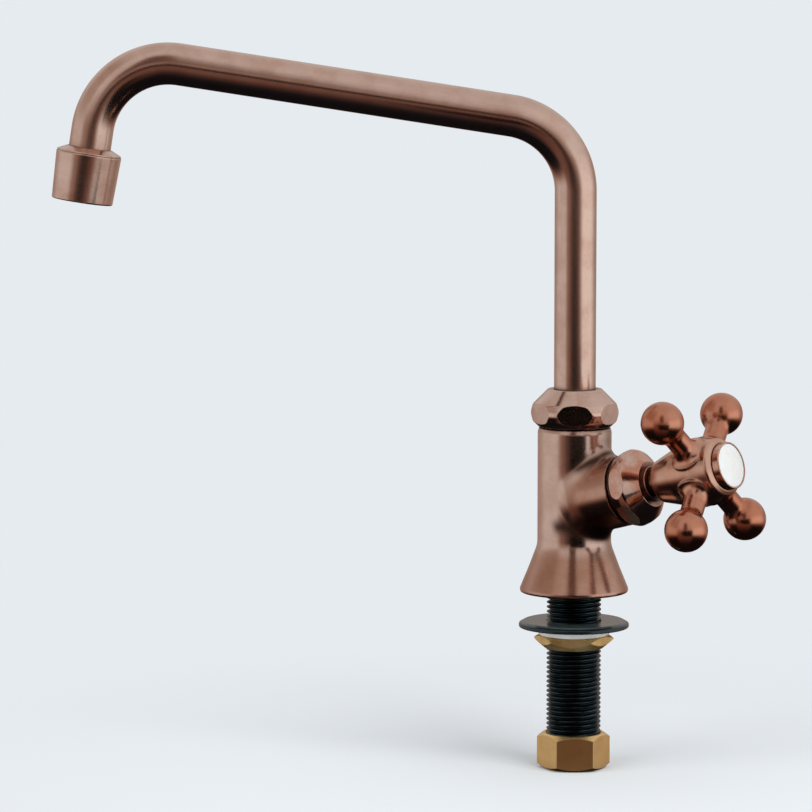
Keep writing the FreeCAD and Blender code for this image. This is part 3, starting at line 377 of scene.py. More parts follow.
def moulded(name, colours, gloss, rim=None):
    """Moulded rubber or plastic, in faint clouds of two colours and with a fine matt grain. A rim is a
    radius and the colour outside it, a painted shade that darkens a sloping rim."""
    material, tree, shader = new_material(name)
    point = object_point(tree)
    clouds = noise(tree, point, scale=140.0, detail=4.0)
    body = blend(tree, smooth(tree, clouds, start=0.3, end=0.7), *colours)
    if rim:
        radius, rim_shade = rim
        outside = smooth(tree, radius_of(tree, point), radius - RIM_FADE, radius + RIM_FADE)
        body = blend(tree, outside, body, rim_shade)
    tint(tree, shader, body)
    patchy_roughness(tree, shader, clouds, share=MOULD_DULLNESS, least=gloss - MOULD_DULLNESS / 2)
    grain = noise(tree, point, scale=1800.0)
    rounded = rounded_normal(tree, 0.2 * MM, samples=4)
    bumpy(tree, shader, grain, strength=0.2, distance=0.03 * MM, normal=rounded)
    return material


def glazed(name, colour):
    """White glaze: a clear coat over a body with the faintest unevenness."""
    material, tree, shader = new_material(name)
    point = object_point(tree, VALVE_AXIS, VALVE_POINT)
    clouds = noise(tree, point, scale=260.0, detail=3.0)
    warm = tuple(part * warmth for part, warmth in zip(colour, GLAZE_WARMTH))
    tint(tree, shader, blend(tree, smooth(tree, clouds, start=0.4, end=0.75), colour, warm))
    patchy_roughness(tree, shader, clouds, share=0.08, least=0.10)
    bumpy(tree, shader, clouds, strength=0.05, distance=0.1 * MM)
    shader.inputs["Coat Weight"].default_value = 0.6
    shader.inputs["Coat Roughness"].default_value = 0.05
    return material


# Stage

# How bright the metal sees the studio: its walls, the same higher up, the ceiling and what lies below
WALL_LEFT, WALL_RIGHT, WALL_BEHIND = 0.66, 0.96, 0.42
UPPER_LEFT, UPPER_RIGHT, UPPER_BEHIND = 0.44, 0.72, 0.62
CEILING = 0.60
BELOW = 0.005

# How bright the dark front is: low, high and below, then its column, the shade round the lens and the lens
FRONT_LOW, FRONT_HIGH, FRONT_BELOW = 0.19, 0.63, 0.008
COLUMN = 0.10
LENS_SHADE, LENS_SHADE_SHARE = 0.02, 0.88
LENS = 0.0

# Where one runs into the other: sideways and to the front as parts of the level direction, and up or down
# as the sine of the angle from the horizon
LEFT_TO_RIGHT = (-0.4, 0.6)
SIDES_TO_BEHIND = (-0.05, -0.80)
WALL_TO_UPPER = (0.08, 0.38)
UPPER_TO_CEILING = (0.70, 0.97)
WALL_TO_BELOW = (-0.12, -0.46)
WALL_TO_FRONT = (0.66, 0.92)
FRONT_RISE = (-0.25, 0.48)
FRONT_FALL = (-0.30, -0.97)
COLUMN_SIDE, COLUMN_FOOT, COLUMN_TOP = (0.975, 0.992), (0.0, 0.30), (0.85, 0.60)
LENS_HEIGHT = -0.10
LENS_SHADE_SIDE, LENS_SHADE_REACH = (0.88, 0.96), (0.11, 0.05)
LENS_SIDE, LENS_REACH = (0.965, 0.99), (0.11, 0.07)

# The dark front is turned to the left, and is wider on that side
FRONT_TURN = math.radians(8)
FRONT_WIDENING, WIDENING_SIDE = 0.07, (0.0, -0.45)

# The least length of the level direction, so that nothing is divided by 0 straight above or below
LEAST_LEVEL = 0.02

# The studio's colour at each brightness: black, warm brown, and nearly neutral when pale
STUDIO_SHADES = (
    (0.0, (0.003, 0.004, 0.006)), (0.03, (0.030, 0.022, 0.022)), (0.08, (0.080, 0.038, 0.032)),
    (0.22, (0.220, 0.120, 0.090)), (0.42, (0.420, 0.330, 0.285)), (0.62, (0.625, 0.595, 0.580)),
    (0.95, (0.950, 0.925, 0.910)))


def walls_brightness(tree, side, front, height):
    """Pale walls left and right, another behind, a ceiling, and darkness below."""
    to_right = smooth(tree, side, *LEFT_TO_RIGHT)
    behind = smooth(tree, front, *SIDES_TO_BEHIND)
    walls = between(tree, behind, between(tree, to_right, WALL_LEFT, WALL_RIGHT), WALL_BEHIND)
    upper = between(tree, behind, between(tree, to_right, UPPER_LEFT, UPPER_RIGHT), UPPER_BEHIND)
    walls = between(tree, smooth(tree, height, *WALL_TO_UPPER), walls, upper)
    walls = between(tree, smooth(tree, height, *UPPER_TO_CEILING), walls, CEILING)
    return between(tree, smooth(tree, height, *WALL_TO_BELOW), walls, BELOW)


def front_brightness(tree, front, height):
    """The dim front, with a darker column above the lens and black round the lens."""
    dim = between(tree, smooth(tree, height, *FRONT_RISE), FRONT_LOW, FRONT_HIGH)
    dim = between(tree, smooth(tree, height, *FRONT_FALL), dim, FRONT_BELOW)
    column = times(tree, smooth(tree, front, *COLUMN_SIDE), smooth(tree, height, *COLUMN_TOP))
    dim = between(tree, times(tree, column, smooth(tree, height, *COLUMN_FOOT)), dim, COLUMN)
    gap = maths(tree, "ABSOLUTE", maths(tree, "SUBTRACT", height, LENS_HEIGHT))
    shade = times(tree, smooth(tree, front, *LENS_SHADE_SIDE), smooth(tree, gap, *LENS_SHADE_REACH))
    dim = between(tree, times(tree, shade, LENS_SHADE_SHARE), dim, LENS_SHADE)
    lens = times(tree, smooth(tree, front, *LENS_SIDE), smooth(tree, gap, *LENS_REACH))
    return between(tree, lens, dim, LENS)


def glossy_surroundings(tree):
    """What the metal mirrors: pale walls left, right and behind, a ceiling, a dim brown front that is black
    round the lens, and darkness below."""
    direction = add(tree, "TexCoord").outputs["Generated"]
    turned = add(tree, "Mapping", {"Vector": direction, "Rotation": (0, 0, FRONT_TURN)})
    parts = add(tree, "SeparateXYZ", {0: turned.outputs[0]})
    x, y, height = (parts.outputs[i] for i in range(3))
    level = maths(tree, "SQRT", maths(tree, "SUBTRACT", 1.0, times(tree, height, height)))
    level = maths(tree, "MAXIMUM", level, LEAST_LEVEL)
    front = maths(tree, "DIVIDE", times(tree, y, -1.0), level)
    side = maths(tree, "DIVIDE", x, level)
    walls = walls_brightness(tree, side, front, height)
    dim = front_brightness(tree, front, height)
    widened = plus(tree, front, smooth(tree, side, *WIDENING_SIDE), FRONT_WIDENING)
    light = between(tree, smooth(tree, widened, *WALL_TO_FRONT), walls, dim)
    ramp = add(tree, "ValToRGB", {"Fac": light})
    marks = ramp.color_ramp.elements
    for place, _ in STUDIO_SHADES[1:-1]:
        marks.new(place)
    for mark, (place, colour) in zip(marks, STUDIO_SHADES):
        mark.position = place
        mark.color = (*colour, 1.0)
    return ramp.outputs["Color"]


def studio_world(settings):
    """Pale background for the camera, studio surroundings for gloss, and even soft light for the rest."""
    world = bpy.data.worlds.new("studio")
    bpy.context.scene.world = world
    world.use_nodes = True
    tree = world.node_tree
    rays = add(tree, "LightPath")
    backdrop = add(tree, "Background", {"Color": (*settings.backdrop, 1.0), "Strength": 1.0})
    soft = add(tree, "Background", {"Color": (1, 1, 1, 1), "Strength": settings.soft_light})
    mirrored = add(tree, "Background", {"Color": glossy_surroundings(tree), "Strength": 1.0})
    for_gloss = mix_shaders(tree, rays.outputs["Is Glossy Ray"], soft, mirrored)
    shown = maths(tree, "MAXIMUM", rays.outputs["Is Camera Ray"], rays.outputs["Is Transmission Ray"])
    for_camera = mix_shaders(tree, shown, for_gloss, backdrop)
    tree.links.new(for_camera.outputs[0], tree.nodes["World Output"].inputs["Surface"])


# The floor: its size, the gap under the tap, and the distances between which it runs into the backdrop
FLOOR_RADIUS = 6.0
FLOOR_GAP = 0.3 * MM
FLOOR_FADE = (0.10, 0.32)

# Where the lamps look
TAP_MIDDLE = Vector((-0.05, 0, 0.07))


def floor_material(settings):
    """Pale matt floor that runs into the backdrop's colour away from the tap."""
    material, tree, shader = new_material("pale_floor")
    shader.inputs["Base Color"].default_value = (*settings.backdrop, 1.0)
    shader.inputs["Roughness"].default_value = 0.9
    shader.inputs["Specular IOR Level"].default_value = 0.0
    place = add(tree, "TexCoord").outputs["Object"]
    distance = add(tree, "VectorMath", {0: place}, operation="LENGTH").outputs["Value"]
    far = smooth(tree, distance, *FLOOR_FADE)
    glow = add(tree, "Emission", {"Color": (*settings.backdrop, 1.0), "Strength": 1.0})
    seen = times(tree, far, add(tree, "LightPath").outputs["Is Camera Ray"])
    mixed = mix_shaders(tree, seen, shader, glow)
    tree.links.new(mixed.outputs[0], tree.nodes["Material Output"].inputs["Surface"])
    return material


def add_floor(settings):
    """A wide round floor, just under the tap's lowest point."""
    select_none()
    place = (0, 0, CAD_BOX[0].z - FLOOR_GAP)
    bpy.ops.mesh.primitive_circle_add(vertices=96, radius=FLOOR_RADIUS, fill_type="NGON", location=place)
    floor = bpy.context.object
    floor.name = "studio_floor"
    floor.data.materials.append(floor_material(settings))
    floor.visible_glossy = False


def add_softbox(name, place, size, watts):
    """A square lamp that looks at the tap's middle, and that the metal doesn't mirror."""
    bpy.ops.object.light_add(type="AREA", location=place)
    lamp = bpy.context.object
    lamp.name = name
    lamp.data.size = size
    lamp.data.energy = watts
    lamp.rotation_euler = (TAP_MIDDLE - Vector(place)).to_track_quat("-Z", "Y").to_euler()
    lamp.visible_glossy = False


def add_card(name, to_right, distance, width, low, high):
    """A black card that only the metal sees, upright before the tap at this angle to its right."""
    out = Vector((math.sin(to_right), -math.cos(to_right), 0))
    place = out * distance + UP * (low + high) / 2
    select_none()
    bpy.ops.mesh.primitive_plane_add(size=1, location=place, rotation=(math.pi / 2, 0, to_right))
    card = bpy.context.object
    card.name = name
    card.scale = (width, high - low, 1)
    material, _, shader = new_material("black_card")
    shader.inputs["Base Color"].default_value = (0, 0, 0, 1)
    shader.inputs["Specular IOR Level"].default_value = 0.0
    card.data.materials.append(material)
    card.visible_camera = card.visible_diffuse = card.visible_transmission = card.visible_shadow = False


def add_camera(settings):
    """The photograph's camera: far off, with a long lens, a little above the tap."""
    rise = math.radians(settings.camera_rise)
    back = Vector((0, -math.cos(rise), math.sin(rise)))
    eye = Vector(settings.camera_pivot) + back * settings.camera_distance
    bpy.ops.object.camera_add(location=eye)
    camera = bpy.context.object
    camera.name = "studio_camera"
    camera.rotation_euler = (Vector(settings.camera_aim) - eye).to_track_quat("-Z", "Y").to_euler()
    camera.data.lens = settings.camera_lens
    camera.data.clip_end = 50.0
    bpy.context.scene.camera = camera


# Settings

def colour_of(name, description, default):
    """A setting that is a colour."""
    return FloatVectorProperty(
        name=name, description=description, subtype="COLOR", size=3, default=default, min=0.0, max=1.0)


def point_at(name, description, default):
    """A setting that is a point."""
    return FloatVectorProperty(
        name=name, description=description, subtype="TRANSLATION", size=3, default=default)


def metres(name, description, default):
    """A setting that is a length."""
    return FloatProperty(name=name, description=description, unit="LENGTH", default=default)


class TapStageSettings(bpy.types.PropertyGroup):
    """What a user would change on the stage."""

    backdrop: colour_of("Backdrop", "Colour of the floor and backdrop", (0.791, 0.831, 0.863))
    soft_light: FloatProperty(
        name="Soft light", description="Strength of the even light from all round", default=0.55, min=0.0)
    camera_pivot: point_at("Camera pivot", "What the camera stands off from", (-80 * MM, 0.0, 70 * MM))
    camera_aim: point_at("Camera aim", "At the picture's middle", (-64.5 * MM, 0.0, 71.6 * MM))
    camera_distance: metres("Camera distance", "From the pivot to the camera", 1.5497)
    camera_rise: FloatProperty(name="Camera rise", description="Degrees above the horizon", default=6.132)
    camera_lens: FloatProperty(
        name="Lens", description="Focal length on a 36 mm sensor", subtype="DISTANCE_CAMERA",
        default=179.87)


class TapColours(bpy.types.PropertyGroup):
    """The finishes' colours."""

    copper: colour_of("Copper", "Rubbed antique copper", (0.74, 0.545, 0.46))
    copper_patina: colour_of("Copper patina", "Deeper copper in patches and lines", (0.50, 0.26, 0.18))
    # The dark copper for the hollows, the seams and the crook: patina and painted shade
    copper_hollow_patina_and_shade: colour_of("Copper in hollows", "Dark copper, also at seams", (0.045, 0.021, 0.019))
    red_copper: colour_of("Red copper", "The handle's copper", (0.74, 0.48, 0.37))
    red_copper_patina: colour_of("Red copper patina", "Deeper copper on the handle", (0.60, 0.235, 0.14))
    brass: colour_of("Brass", "Turned brass of the nuts below the deck", (0.95, 0.68, 0.31))
    brass_patina: colour_of("Brass patina", "Duller brass in patches and lines", (0.76, 0.47, 0.15))
    # The dark brass for the hollows and the seams: patina and painted shade
    brass_hollow_patina_and_shade: colour_of("Brass in hollows", "Dark brass, also at seams", (0.30, 0.18, 0.06))
    glaze: colour_of("Glaze", "White of the button", (0.76, 0.77, 0.765))

    def copper_shades(self):
        """Antique copper in pale, deep and dark."""
        return self.copper, self.copper_patina, self.copper_hollow_patina_and_shade

    def brass_shades(self):
        """Brass in pale, deep and dark."""
        return self.brass, self.brass_patina, self.brass_hollow_patina_and_shade


class TapBodySettings(bpy.types.PropertyGroup):
    """Sizes of the body where its branch runs into it."""

    radius: metres("Radius", "Of the round body", 14.15 * MM)
    flare_top: metres("Flare top", "Height where the foot's flare ends", 18.4 * MM)
    flare_slope: FloatProperty(
        name="Flare slope", description="Of the foot, away from upright", subtype="ANGLE",
        default=math.radians(21.3))
    branch: metres("Branch", "Radius of the valve branch", 13.4 * MM)
    shoulder: metres("Shoulder", "From the body's axis to the branch's end", 24.5 * MM)
    melt: metres("Melt", "How widely the branch runs into the body beside and below", 3.8 * MM)
    melt_above: metres("Melt above", "How widely it does above", 6.5 * MM)
    melt_start: metres("Melt start", "How far out on the branch the melt is whole", 7 * MM)
    # The crook settings spread painted shade under and above the branch and onto the body; the patina they
    # name is that painted shade
    crook_below: metres("Crook below", "How far out patina is left under the branch", 16 * MM)
    crook_above: metres("Crook above", "How far out it is left above the branch", 4 * MM)
    crook_on_trunk: metres("Crook on the body", "How far it spreads on the body", 5.5 * MM)
    grain: metres("Grain", "Side of one face of the skin", 0.48 * MM)


class TapTubeSettings(bpy.types.PropertyGroup):
    """Sizes of the spout's bent tube."""

    radius: metres("Radius", "Outside radius of the tube", 7.99 * MM)
    wall: metres("Wall", "Thickness of its wall", 1.2 * MM)
    foot: metres("Foot", "Height of the tube's lower end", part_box("spout_pipe")[0].z)
    groove: metres("Groove", "Depth of the snap ring's groove", 0.6 * MM)
    bend: metres("Bend", "Radius of both bends", 29 * MM)
    drop: metres("Drop", "From the outer corner of the centre line to the mouth", 56.9 * MM)
    end: metres("End", "From that corner to the tube's end, inside the collar", 41.3 * MM)
    sides: IntProperty(name="Sides", description="Faces round the tube", default=72, min=12)
    steps: IntProperty(name="Steps", description="Rings in each bend", default=40, min=6)


class TapThreadSettings(bpy.types.PropertyGroup):
    """Sizes of the shank's thread."""

    pitch: metres("Pitch", "From crest to crest", 1.814 * MM)
    depth: metres("Depth", "From crest to root", 1.16 * MM)
    crest: metres("Crest radius", "Over the thread", 10.46 * MM)
    bore: metres("Bore", "Radius of the waterway", 6.5 * MM)
    sides: IntProperty(name="Sides", description="Faces round one turn", default=64, min=12)


# Body

# How far inside the body or the branch a point may lie and still count as on the casting's outside
OUTSIDE_SLACK = 0.3 * MM

# Where the melt above the branch begins and is whole, beside and above the branch's axis, in its radii
MELT_BESIDE = (0.8, 0.3)
MELT_RISE = (0.0, 0.5)

# How far from the branch's shoulder the melt begins to fade, and how much there stays as cast
SHOULDER_FADE = 3 * MM
SHOULDER_KEPT = 0.1 * MM

# The crook's painted shade: the share of its width where it is whole, how far above or below the axis
# it begins and is whole, in the branch's radii, and where it ends behind the body's axis
CROOK_WHOLE = 4 / 9
CROOK_BELOW = (0.25, 0.65)
CROOK_ABOVE = (0.6, 1.0)
CROOK_BACK = -4 * MM

# How often the skin is laid on the curve and evened out, and the steps in which a point reaches the curve
SKIN_ROUNDS = 3
SETTLING_STEPS = 6


def soft_rise(value, start, end):
    """0 at start and 1 at end, with a soft rise between."""
    share = min(max((value - start) / (end - start), 0.0), 1.0)
    return share * share * (3 - 2 * share)


class BranchMelt:
    """The wide hollow curve by which the polished casting runs from its body into its branch. It starts
    where the branch's axis crosses the body's."""

    def __init__(self, body):
        self.body = body
        along = VALVE_POINT.xy.dot(VALVE_AXIS.xy) / VALVE_AXIS.xy.length_squared
        self.start = VALVE_POINT - VALVE_AXIS * along
        self.lean = Vector((math.cos(body.flare_slope), math.sin(body.flare_slope)))
        self.level = UP.cross(VALVE_AXIS).normalized()
        self.over = VALVE_AXIS.cross(self.level)

    def trunk(self, point):
        """Distance outside the round body or its flare, and the way out."""
        out = Vector((point.x, point.y, 0)).normalized()
        gap = point.xy.length - self.body.radius
        below = self.body.flare_top - point.z
        if below <= 0:
            return gap, out
        return gap * self.lean.x - below * self.lean.y, out * self.lean.x + UP * self.lean.y

    def branch(self, point):
        """Distance outside the branch, the way out, and the station along the branch."""
        offset = point - self.start
        station = offset.dot(VALVE_AXIS)
        across = offset - VALVE_AXIS * station
        return across.length - self.body.branch, across.normalized(), station

    def rise_and_aside(self, point):
        """How far above and how far beside the branch's axis, in radii of the branch."""
        offset = point - self.start
        return offset.dot(self.over) / self.body.branch, abs(offset.dot(self.level)) / self.body.branch

    def reaches(self, point):
        """Whether a point of the skin lies where the curve runs."""
        trunk_gap = self.trunk(point)[0]
        branch_gap, _, station = self.branch(point)
        near = max(trunk_gap, branch_gap) < self.body.melt_above
        outside = min(trunk_gap, branch_gap) > -OUTSIDE_SLACK
        return near and outside and 0 < station < self.body.shoulder - SHOULDER_KEPT

    def crook(self, point):
        """How deep a point lies in the crook above or below the branch, from 0 to 1: the share of shade
        painted there.
        """
        trunk_gap = self.trunk(point)[0]
        branch_gap, _, station = self.branch(point)
        if min(trunk_gap, branch_gap) < -OUTSIDE_SLACK:
            return 0.0
        rise = self.rise_and_aside(point)[0]
        wide, heights = self.body.crook_below, CROOK_BELOW
        if branch_gap > trunk_gap:
            wide = self.body.crook_on_trunk
        if rise > 0:
            wide, heights = self.body.crook_above, CROOK_ABOVE
        depth = soft_rise(max(trunk_gap, branch_gap), wide, wide * CROOK_WHOLE)
        return depth * soft_rise(abs(rise), *heights) * soft_rise(station, CROOK_BACK, 0.0)

    def reach(self, point, station):
        """How widely the branch runs into the body here, down to nothing at its root and its shoulder."""
        rise, aside = self.rise_and_aside(point)
        above = soft_rise(aside, *MELT_BESIDE) * soft_rise(rise, *MELT_RISE)
        widest = self.body.melt + (self.body.melt_above - self.body.melt) * above
        fade = soft_rise(station, self.body.shoulder, self.body.shoulder - SHOULDER_FADE)
        return widest * soft_rise(station, 0.0, self.body.melt_start) * fade

    def settle(self, point):
        """The nearest point on the curve."""
        for _ in range(SETTLING_STEPS):
            trunk_gap, trunk_out = self.trunk(point)
            branch_gap, branch_out, station = self.branch(point)
            reach = self.reach(point, station)
            from_trunk, from_branch = reach - trunk_gap, reach - branch_gap
            if min(from_trunk, from_branch) <= 0:
                break
            slant = math.hypot(from_trunk, from_branch)
            climb = (trunk_out * from_trunk + branch_out * from_branch) / slant
            point = point + climb * ((slant - reach) / climb.length_squared)
        return point


def fine_skin(casting, grain):
    """A copy of the casting with an even skin of fine faces, which lies on the casting."""
    select_none()
    made = casting.copy()
    made.data = casting.data.copy()
    bpy.context.scene.collection.objects.link(made)
    made.select_set(True)
    bpy.context.view_layer.objects.active = made
    edit_all()
    bpy.ops.mesh.remove_doubles(threshold=0.001 * MM)
    edit_done()
    skin = made.modifiers.new("skin", "REMESH")
    skin.mode = "VOXEL"
    skin.voxel_size = grain
    bpy.ops.object.modifier_apply(modifier=skin.name)
    seat = made.modifiers.new("seat", "SHRINKWRAP")
    seat.target = casting
    bpy.ops.object.modifier_apply(modifier=seat.name)
    return made


def settle_skin(made, melt, zone):
    """Moves these points of the skin onto the curve."""
    for index in zone:
        made.data.vertices[index].co = melt.settle(made.data.vertices[index].co)


def even_out(made, zone):
    """Evens out the faces round these points of the skin."""
    bpy.ops.object.mode_set(mode="EDIT")
    bpy.ops.mesh.select_all(action="DESELECT")
    edit_done()
    for index in zone:
        made.data.vertices[index].select = True
    bpy.ops.object.mode_set(mode="EDIT")
    bpy.ops.mesh.select_mode(type="VERT")
    bpy.ops.mesh.vertices_smooth(factor=0.5, repeat=4)
    edit_done()


def shade_as_cast(made, casting, zone):
    """Gives the skin the casting's own shading, away from these points."""
    bpy.ops.object.shade_smooth()
    as_cast = made.vertex_groups.new(name="as_cast")
    melted = set(zone)
    kept = [vertex.index for vertex in made.data.vertices if vertex.index not in melted]
    as_cast.add(kept, 1.0, "REPLACE")
    shine = made.modifiers.new("shine", "DATA_TRANSFER")
    shine.object = casting
    shine.use_loop_data = True
    shine.data_types_loops = {"CUSTOM_NORMAL"}
    shine.loop_mapping = "POLYINTERP_NEAREST"
    shine.vertex_group = as_cast.name
    bpy.ops.object.modifier_apply(modifier=shine.name)
    made.vertex_groups.clear()


def melted_body(settings):
    """A finer skin over the casting, with its branch run into its body."""
    casting = NODES["tap_body"]
    made = fine_skin(casting, settings.grain)
    melt = BranchMelt(settings)
    zone = [vertex.index for vertex in made.data.vertices if melt.reaches(vertex.co)]
    for _ in range(SKIN_ROUNDS):
        settle_skin(made, melt, zone)
        even_out(made, zone)
    settle_skin(made, melt, zone)
    shade_as_cast(made, casting, zone)
    made.data.materials.clear()
    # The crook values, from 0 to 1, say where shade is painted in the crook of the branch
    crook = made.data.attributes.new("crook", "FLOAT", "POINT")
    for vertex in made.data.vertices:
        crook.data[vertex.index].value = melt.crook(vertex.co)
    return made


# Spout

TUBE_MAP = "tube_unrolled"


class TubePath:
    """The spout's centre line: up the riser, round the knee, along the arm, round the outer bend and down
    to the outlet. Each stretch after the riser has the length along the tube where it begins."""

    def __init__(self, tube):
        self.tube = tube
        self.down = -OUTLET_AXIS
        self.arm = Vector((self.down.z, 0, -self.down.x))
        self.corner = OUTLET_POINT + OUTLET_AXIS * tube.drop
        self.knee = self.corner - self.arm * (self.corner.x / self.arm.x)
        self.knee_turn = UP.angle(self.arm)
        self.riser_top = self.knee - UP * tube.bend * math.tan(self.knee_turn / 2)
        self.arm_start = self.knee + self.arm * tube.bend * math.tan(self.knee_turn / 2)
        self.arm_end = self.corner - self.arm * tube.bend
        self.drop_start = self.corner + self.down * tube.bend
        self.knee_centre = self.riser_top + Vector((-tube.bend, 0, 0))
        self.outer_centre = self.arm_end + self.down * tube.bend
        self.knee_from = self.riser_top.z - tube.foot
        self.arm_from = self.knee_from + tube.bend * self.knee_turn
        self.outer_from = self.arm_from + (self.arm_end - self.arm_start).length
        self.drop_from = self.outer_from + tube.bend * math.pi / 2

    def unrolled(self, point):
        """How far along the tube a point is, and its angle round the tube, from the bends' outer side."""
        bend = self.tube.bend
        if (point - self.drop_start).dot(self.down) >= 0 and point.x < self.corner.x / 2:
            offset = point - self.drop_start
            length = self.drop_from + offset.dot(self.down)
            out = offset.dot(self.arm)
        elif (point - self.arm_end).dot(self.arm) >= 0:
            offset = point - self.outer_centre
            length = self.outer_from + bend * math.atan2(offset.dot(self.arm), -offset.dot(self.down))
            out = math.hypot(offset.x, offset.z) - bend
        elif (point - self.arm_start).dot(self.arm) >= 0:
            offset = point - self.arm_start
            length = self.arm_from + offset.dot(self.arm)
            out = -offset.dot(self.down)
        elif point.z > self.riser_top.z:
            offset = point - self.knee_centre
            length = self.knee_from + bend * math.atan2(offset.z, offset.x)
            out = math.hypot(offset.x, offset.z) - bend
        else:
            length = point.z - self.tube.foot
            out = point.x
        return length, math.atan2(point.y, out)


def edit_new(name):
    """Names the new object and opens it with everything in it selected."""
    made = bpy.context.object
    made.name = name
    bpy.ops.object.transform_apply(location=True, rotation=True, scale=True)
    edit_all()
    return made


def extrude(vector):
    """Draws what is selected out by this vector."""
    bpy.ops.mesh.extrude_region_move(TRANSFORM_OT_translate={"value": tuple(vector)})


def draw_wall(path, radius, groove):
    """One wall of the tube: a circle drawn up the riser, round both bends and down into the collar."""
    tube = path.tube
    select_none()
    bpy.ops.mesh.primitive_circle_add(vertices=tube.sides, radius=radius, location=(0, 0, tube.foot))
    wall = edit_new("tube_wall")
    height = tube.foot
    ring_low, ring_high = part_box("snap_ring")
    for level, factor in ((ring_low.z, 1 - groove / radius), (ring_high.z, 1 / (1 - groove / radius))):
        extrude((0, 0, level - height))
        height = level
        if groove:
            extrude((0, 0, 0))
            bpy.ops.transform.resize(value=(factor, factor, 1), center_override=(0, 0, level))
    extrude((0, 0, path.riser_top.z - height))
    bpy.ops.mesh.spin(steps=tube.steps, angle=path.knee_turn, center=path.knee_centre, axis=(0, 1, 0))
    extrude(path.arm_end - path.arm_start)
    bpy.ops.mesh.spin(steps=tube.steps, angle=math.pi / 2, center=path.outer_centre, axis=(0, 1, 0))
    extrude(path.down * (tube.end - tube.bend))
    edit_done()
    return wall


def unroll(made, path):
    """Gives the tube its map, metres along it and round it, with no face across the map's seam."""
    unrolled = made.data.uv_layers.new(name=TUBE_MAP)
    for face in made.data.polygons:
        first = None
        for loop in face.loop_indices:
            length, turn = path.unrolled(made.data.vertices[made.data.loops[loop].vertex_index].co)
            first = turn if first is None else first
            turn += math.tau * round((first - turn) / math.tau)
            unrolled.data[loop].uv = (length, turn * path.tube.radius)


# Threaded shank

# One turn of the thread from root to root: shares of the pitch along it and of its depth outwards
THREAD_FORM = ((0.10, 0.0), (0.16, 0.08), (0.40, 0.92), (0.46, 1.0), (0.56, 1.0), (0.62, 0.92),
               (0.86, 0.08), (0.92, 0.0), (1.0, 0.0))

# Turns drawn past each end, before both ends are cut level
SPARE_TURNS = 2


def cut_thread(thread, low, high):
    """A right-hand helical thread between two heights, open at both ends."""
    root = thread.crest - thread.depth
    start = low - SPARE_TURNS * thread.pitch
    select_none()
    bpy.ops.mesh.primitive_plane_add(size=MM, location=(root, 0, start))
    made = edit_new("shank_thread")
    bpy.ops.mesh.merge(type="CENTER")
    place = Vector((root, 0, start))
    for share, rise in THREAD_FORM:
        point = Vector((root + thread.depth * rise, 0, start + thread.pitch * share))
        extrude(point - place)
        place = point
    edit_done()
    screw = made.modifiers.new("turns", "SCREW")
    screw.axis = "Z"
    screw.steps = screw.render_steps = thread.sides
    screw.screw_offset = thread.pitch
    screw.iterations = math.ceil((high - low) / thread.pitch) + 2 * SPARE_TURNS
    bpy.ops.object.modifier_apply(modifier=screw.name)
    edit_all()
    bpy.ops.mesh.remove_doubles(threshold=0.002 * MM)
    for level, lower in ((low, True), (high, False)):
        bpy.ops.mesh.select_all(action="SELECT")
        bpy.ops.mesh.bisect(plane_co=(0, 0, level), plane_no=UP, clear_inner=lower, clear_outer=not lower)
    edit_done()
    return made


# Joining and placing pieces

# How near to a plane an open edge counts as lying in it, and the angle from which an edge stays sharp
IN_PLANE = 0.02 * MM
SHARP_EDGE = math.radians(40)


def close_ends(made, *planes):
    """Bridges the open edges that lie in each of the planes, given by a point and a normal."""
    bpy.ops.object.mode_set(mode="EDIT")
    for point, normal in planes:
        bpy.ops.mesh.select_all(action="DESELECT")
        shape = bmesh.from_edit_mesh(made.data)
        for edge in shape.edges:
            level = all(abs((v.co - point).dot(normal)) < IN_PLANE for v in edge.verts)
            edge.select_set(edge.is_boundary and level)
        bmesh.update_edit_mesh(made.data)
        bpy.ops.mesh.bridge_edge_loops()
    bpy.ops.mesh.select_all(action="SELECT")
    bpy.ops.mesh.normals_make_consistent(inside=False)
    edit_done()


def join(keep, other):
    """Joins the second object into the first."""
    select_none()
    other.select_set(True)
    keep.select_set(True)
    bpy.context.view_layer.objects.active = keep
    bpy.ops.object.join()


def stand_for(made, material, node):
    """The new piece takes the place of a CAD node, with its body and its finish."""
    made.name = node + "_finished"
    made.data.materials.append(material)
    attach(made, NODES[node]["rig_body"])
    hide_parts(node)


def finish_nodes(material, *names):
    """Gives CAD nodes this material."""
    for name in names:
        NODES[name].data.materials.clear()
        NODES[name].data.materials.append(material)


# Pieces

# Radii between which the copper grows deeper and by how much, off the round body and out on the handle
OFF_THE_BARREL, BARREL_DEPTH = (14.2 * MM, 16 * MM), 0.65
TOWARDS_BALLS, BALLS_DEPTH = (9 * MM, 17 * MM), 0.75


def off_the_barrel(tree, point):
    """Deeper copper on the foot and the branch, where the casting leaves its round body."""
    return times(tree, smooth(tree, radius_of(tree, point), *OFF_THE_BARREL), BARREL_DEPTH)


def towards_balls(tree, point):
    """Redder copper out along the handle's arms."""
    return times(tree, smooth(tree, radius_of(tree, point), *TOWARDS_BALLS), BALLS_DEPTH)


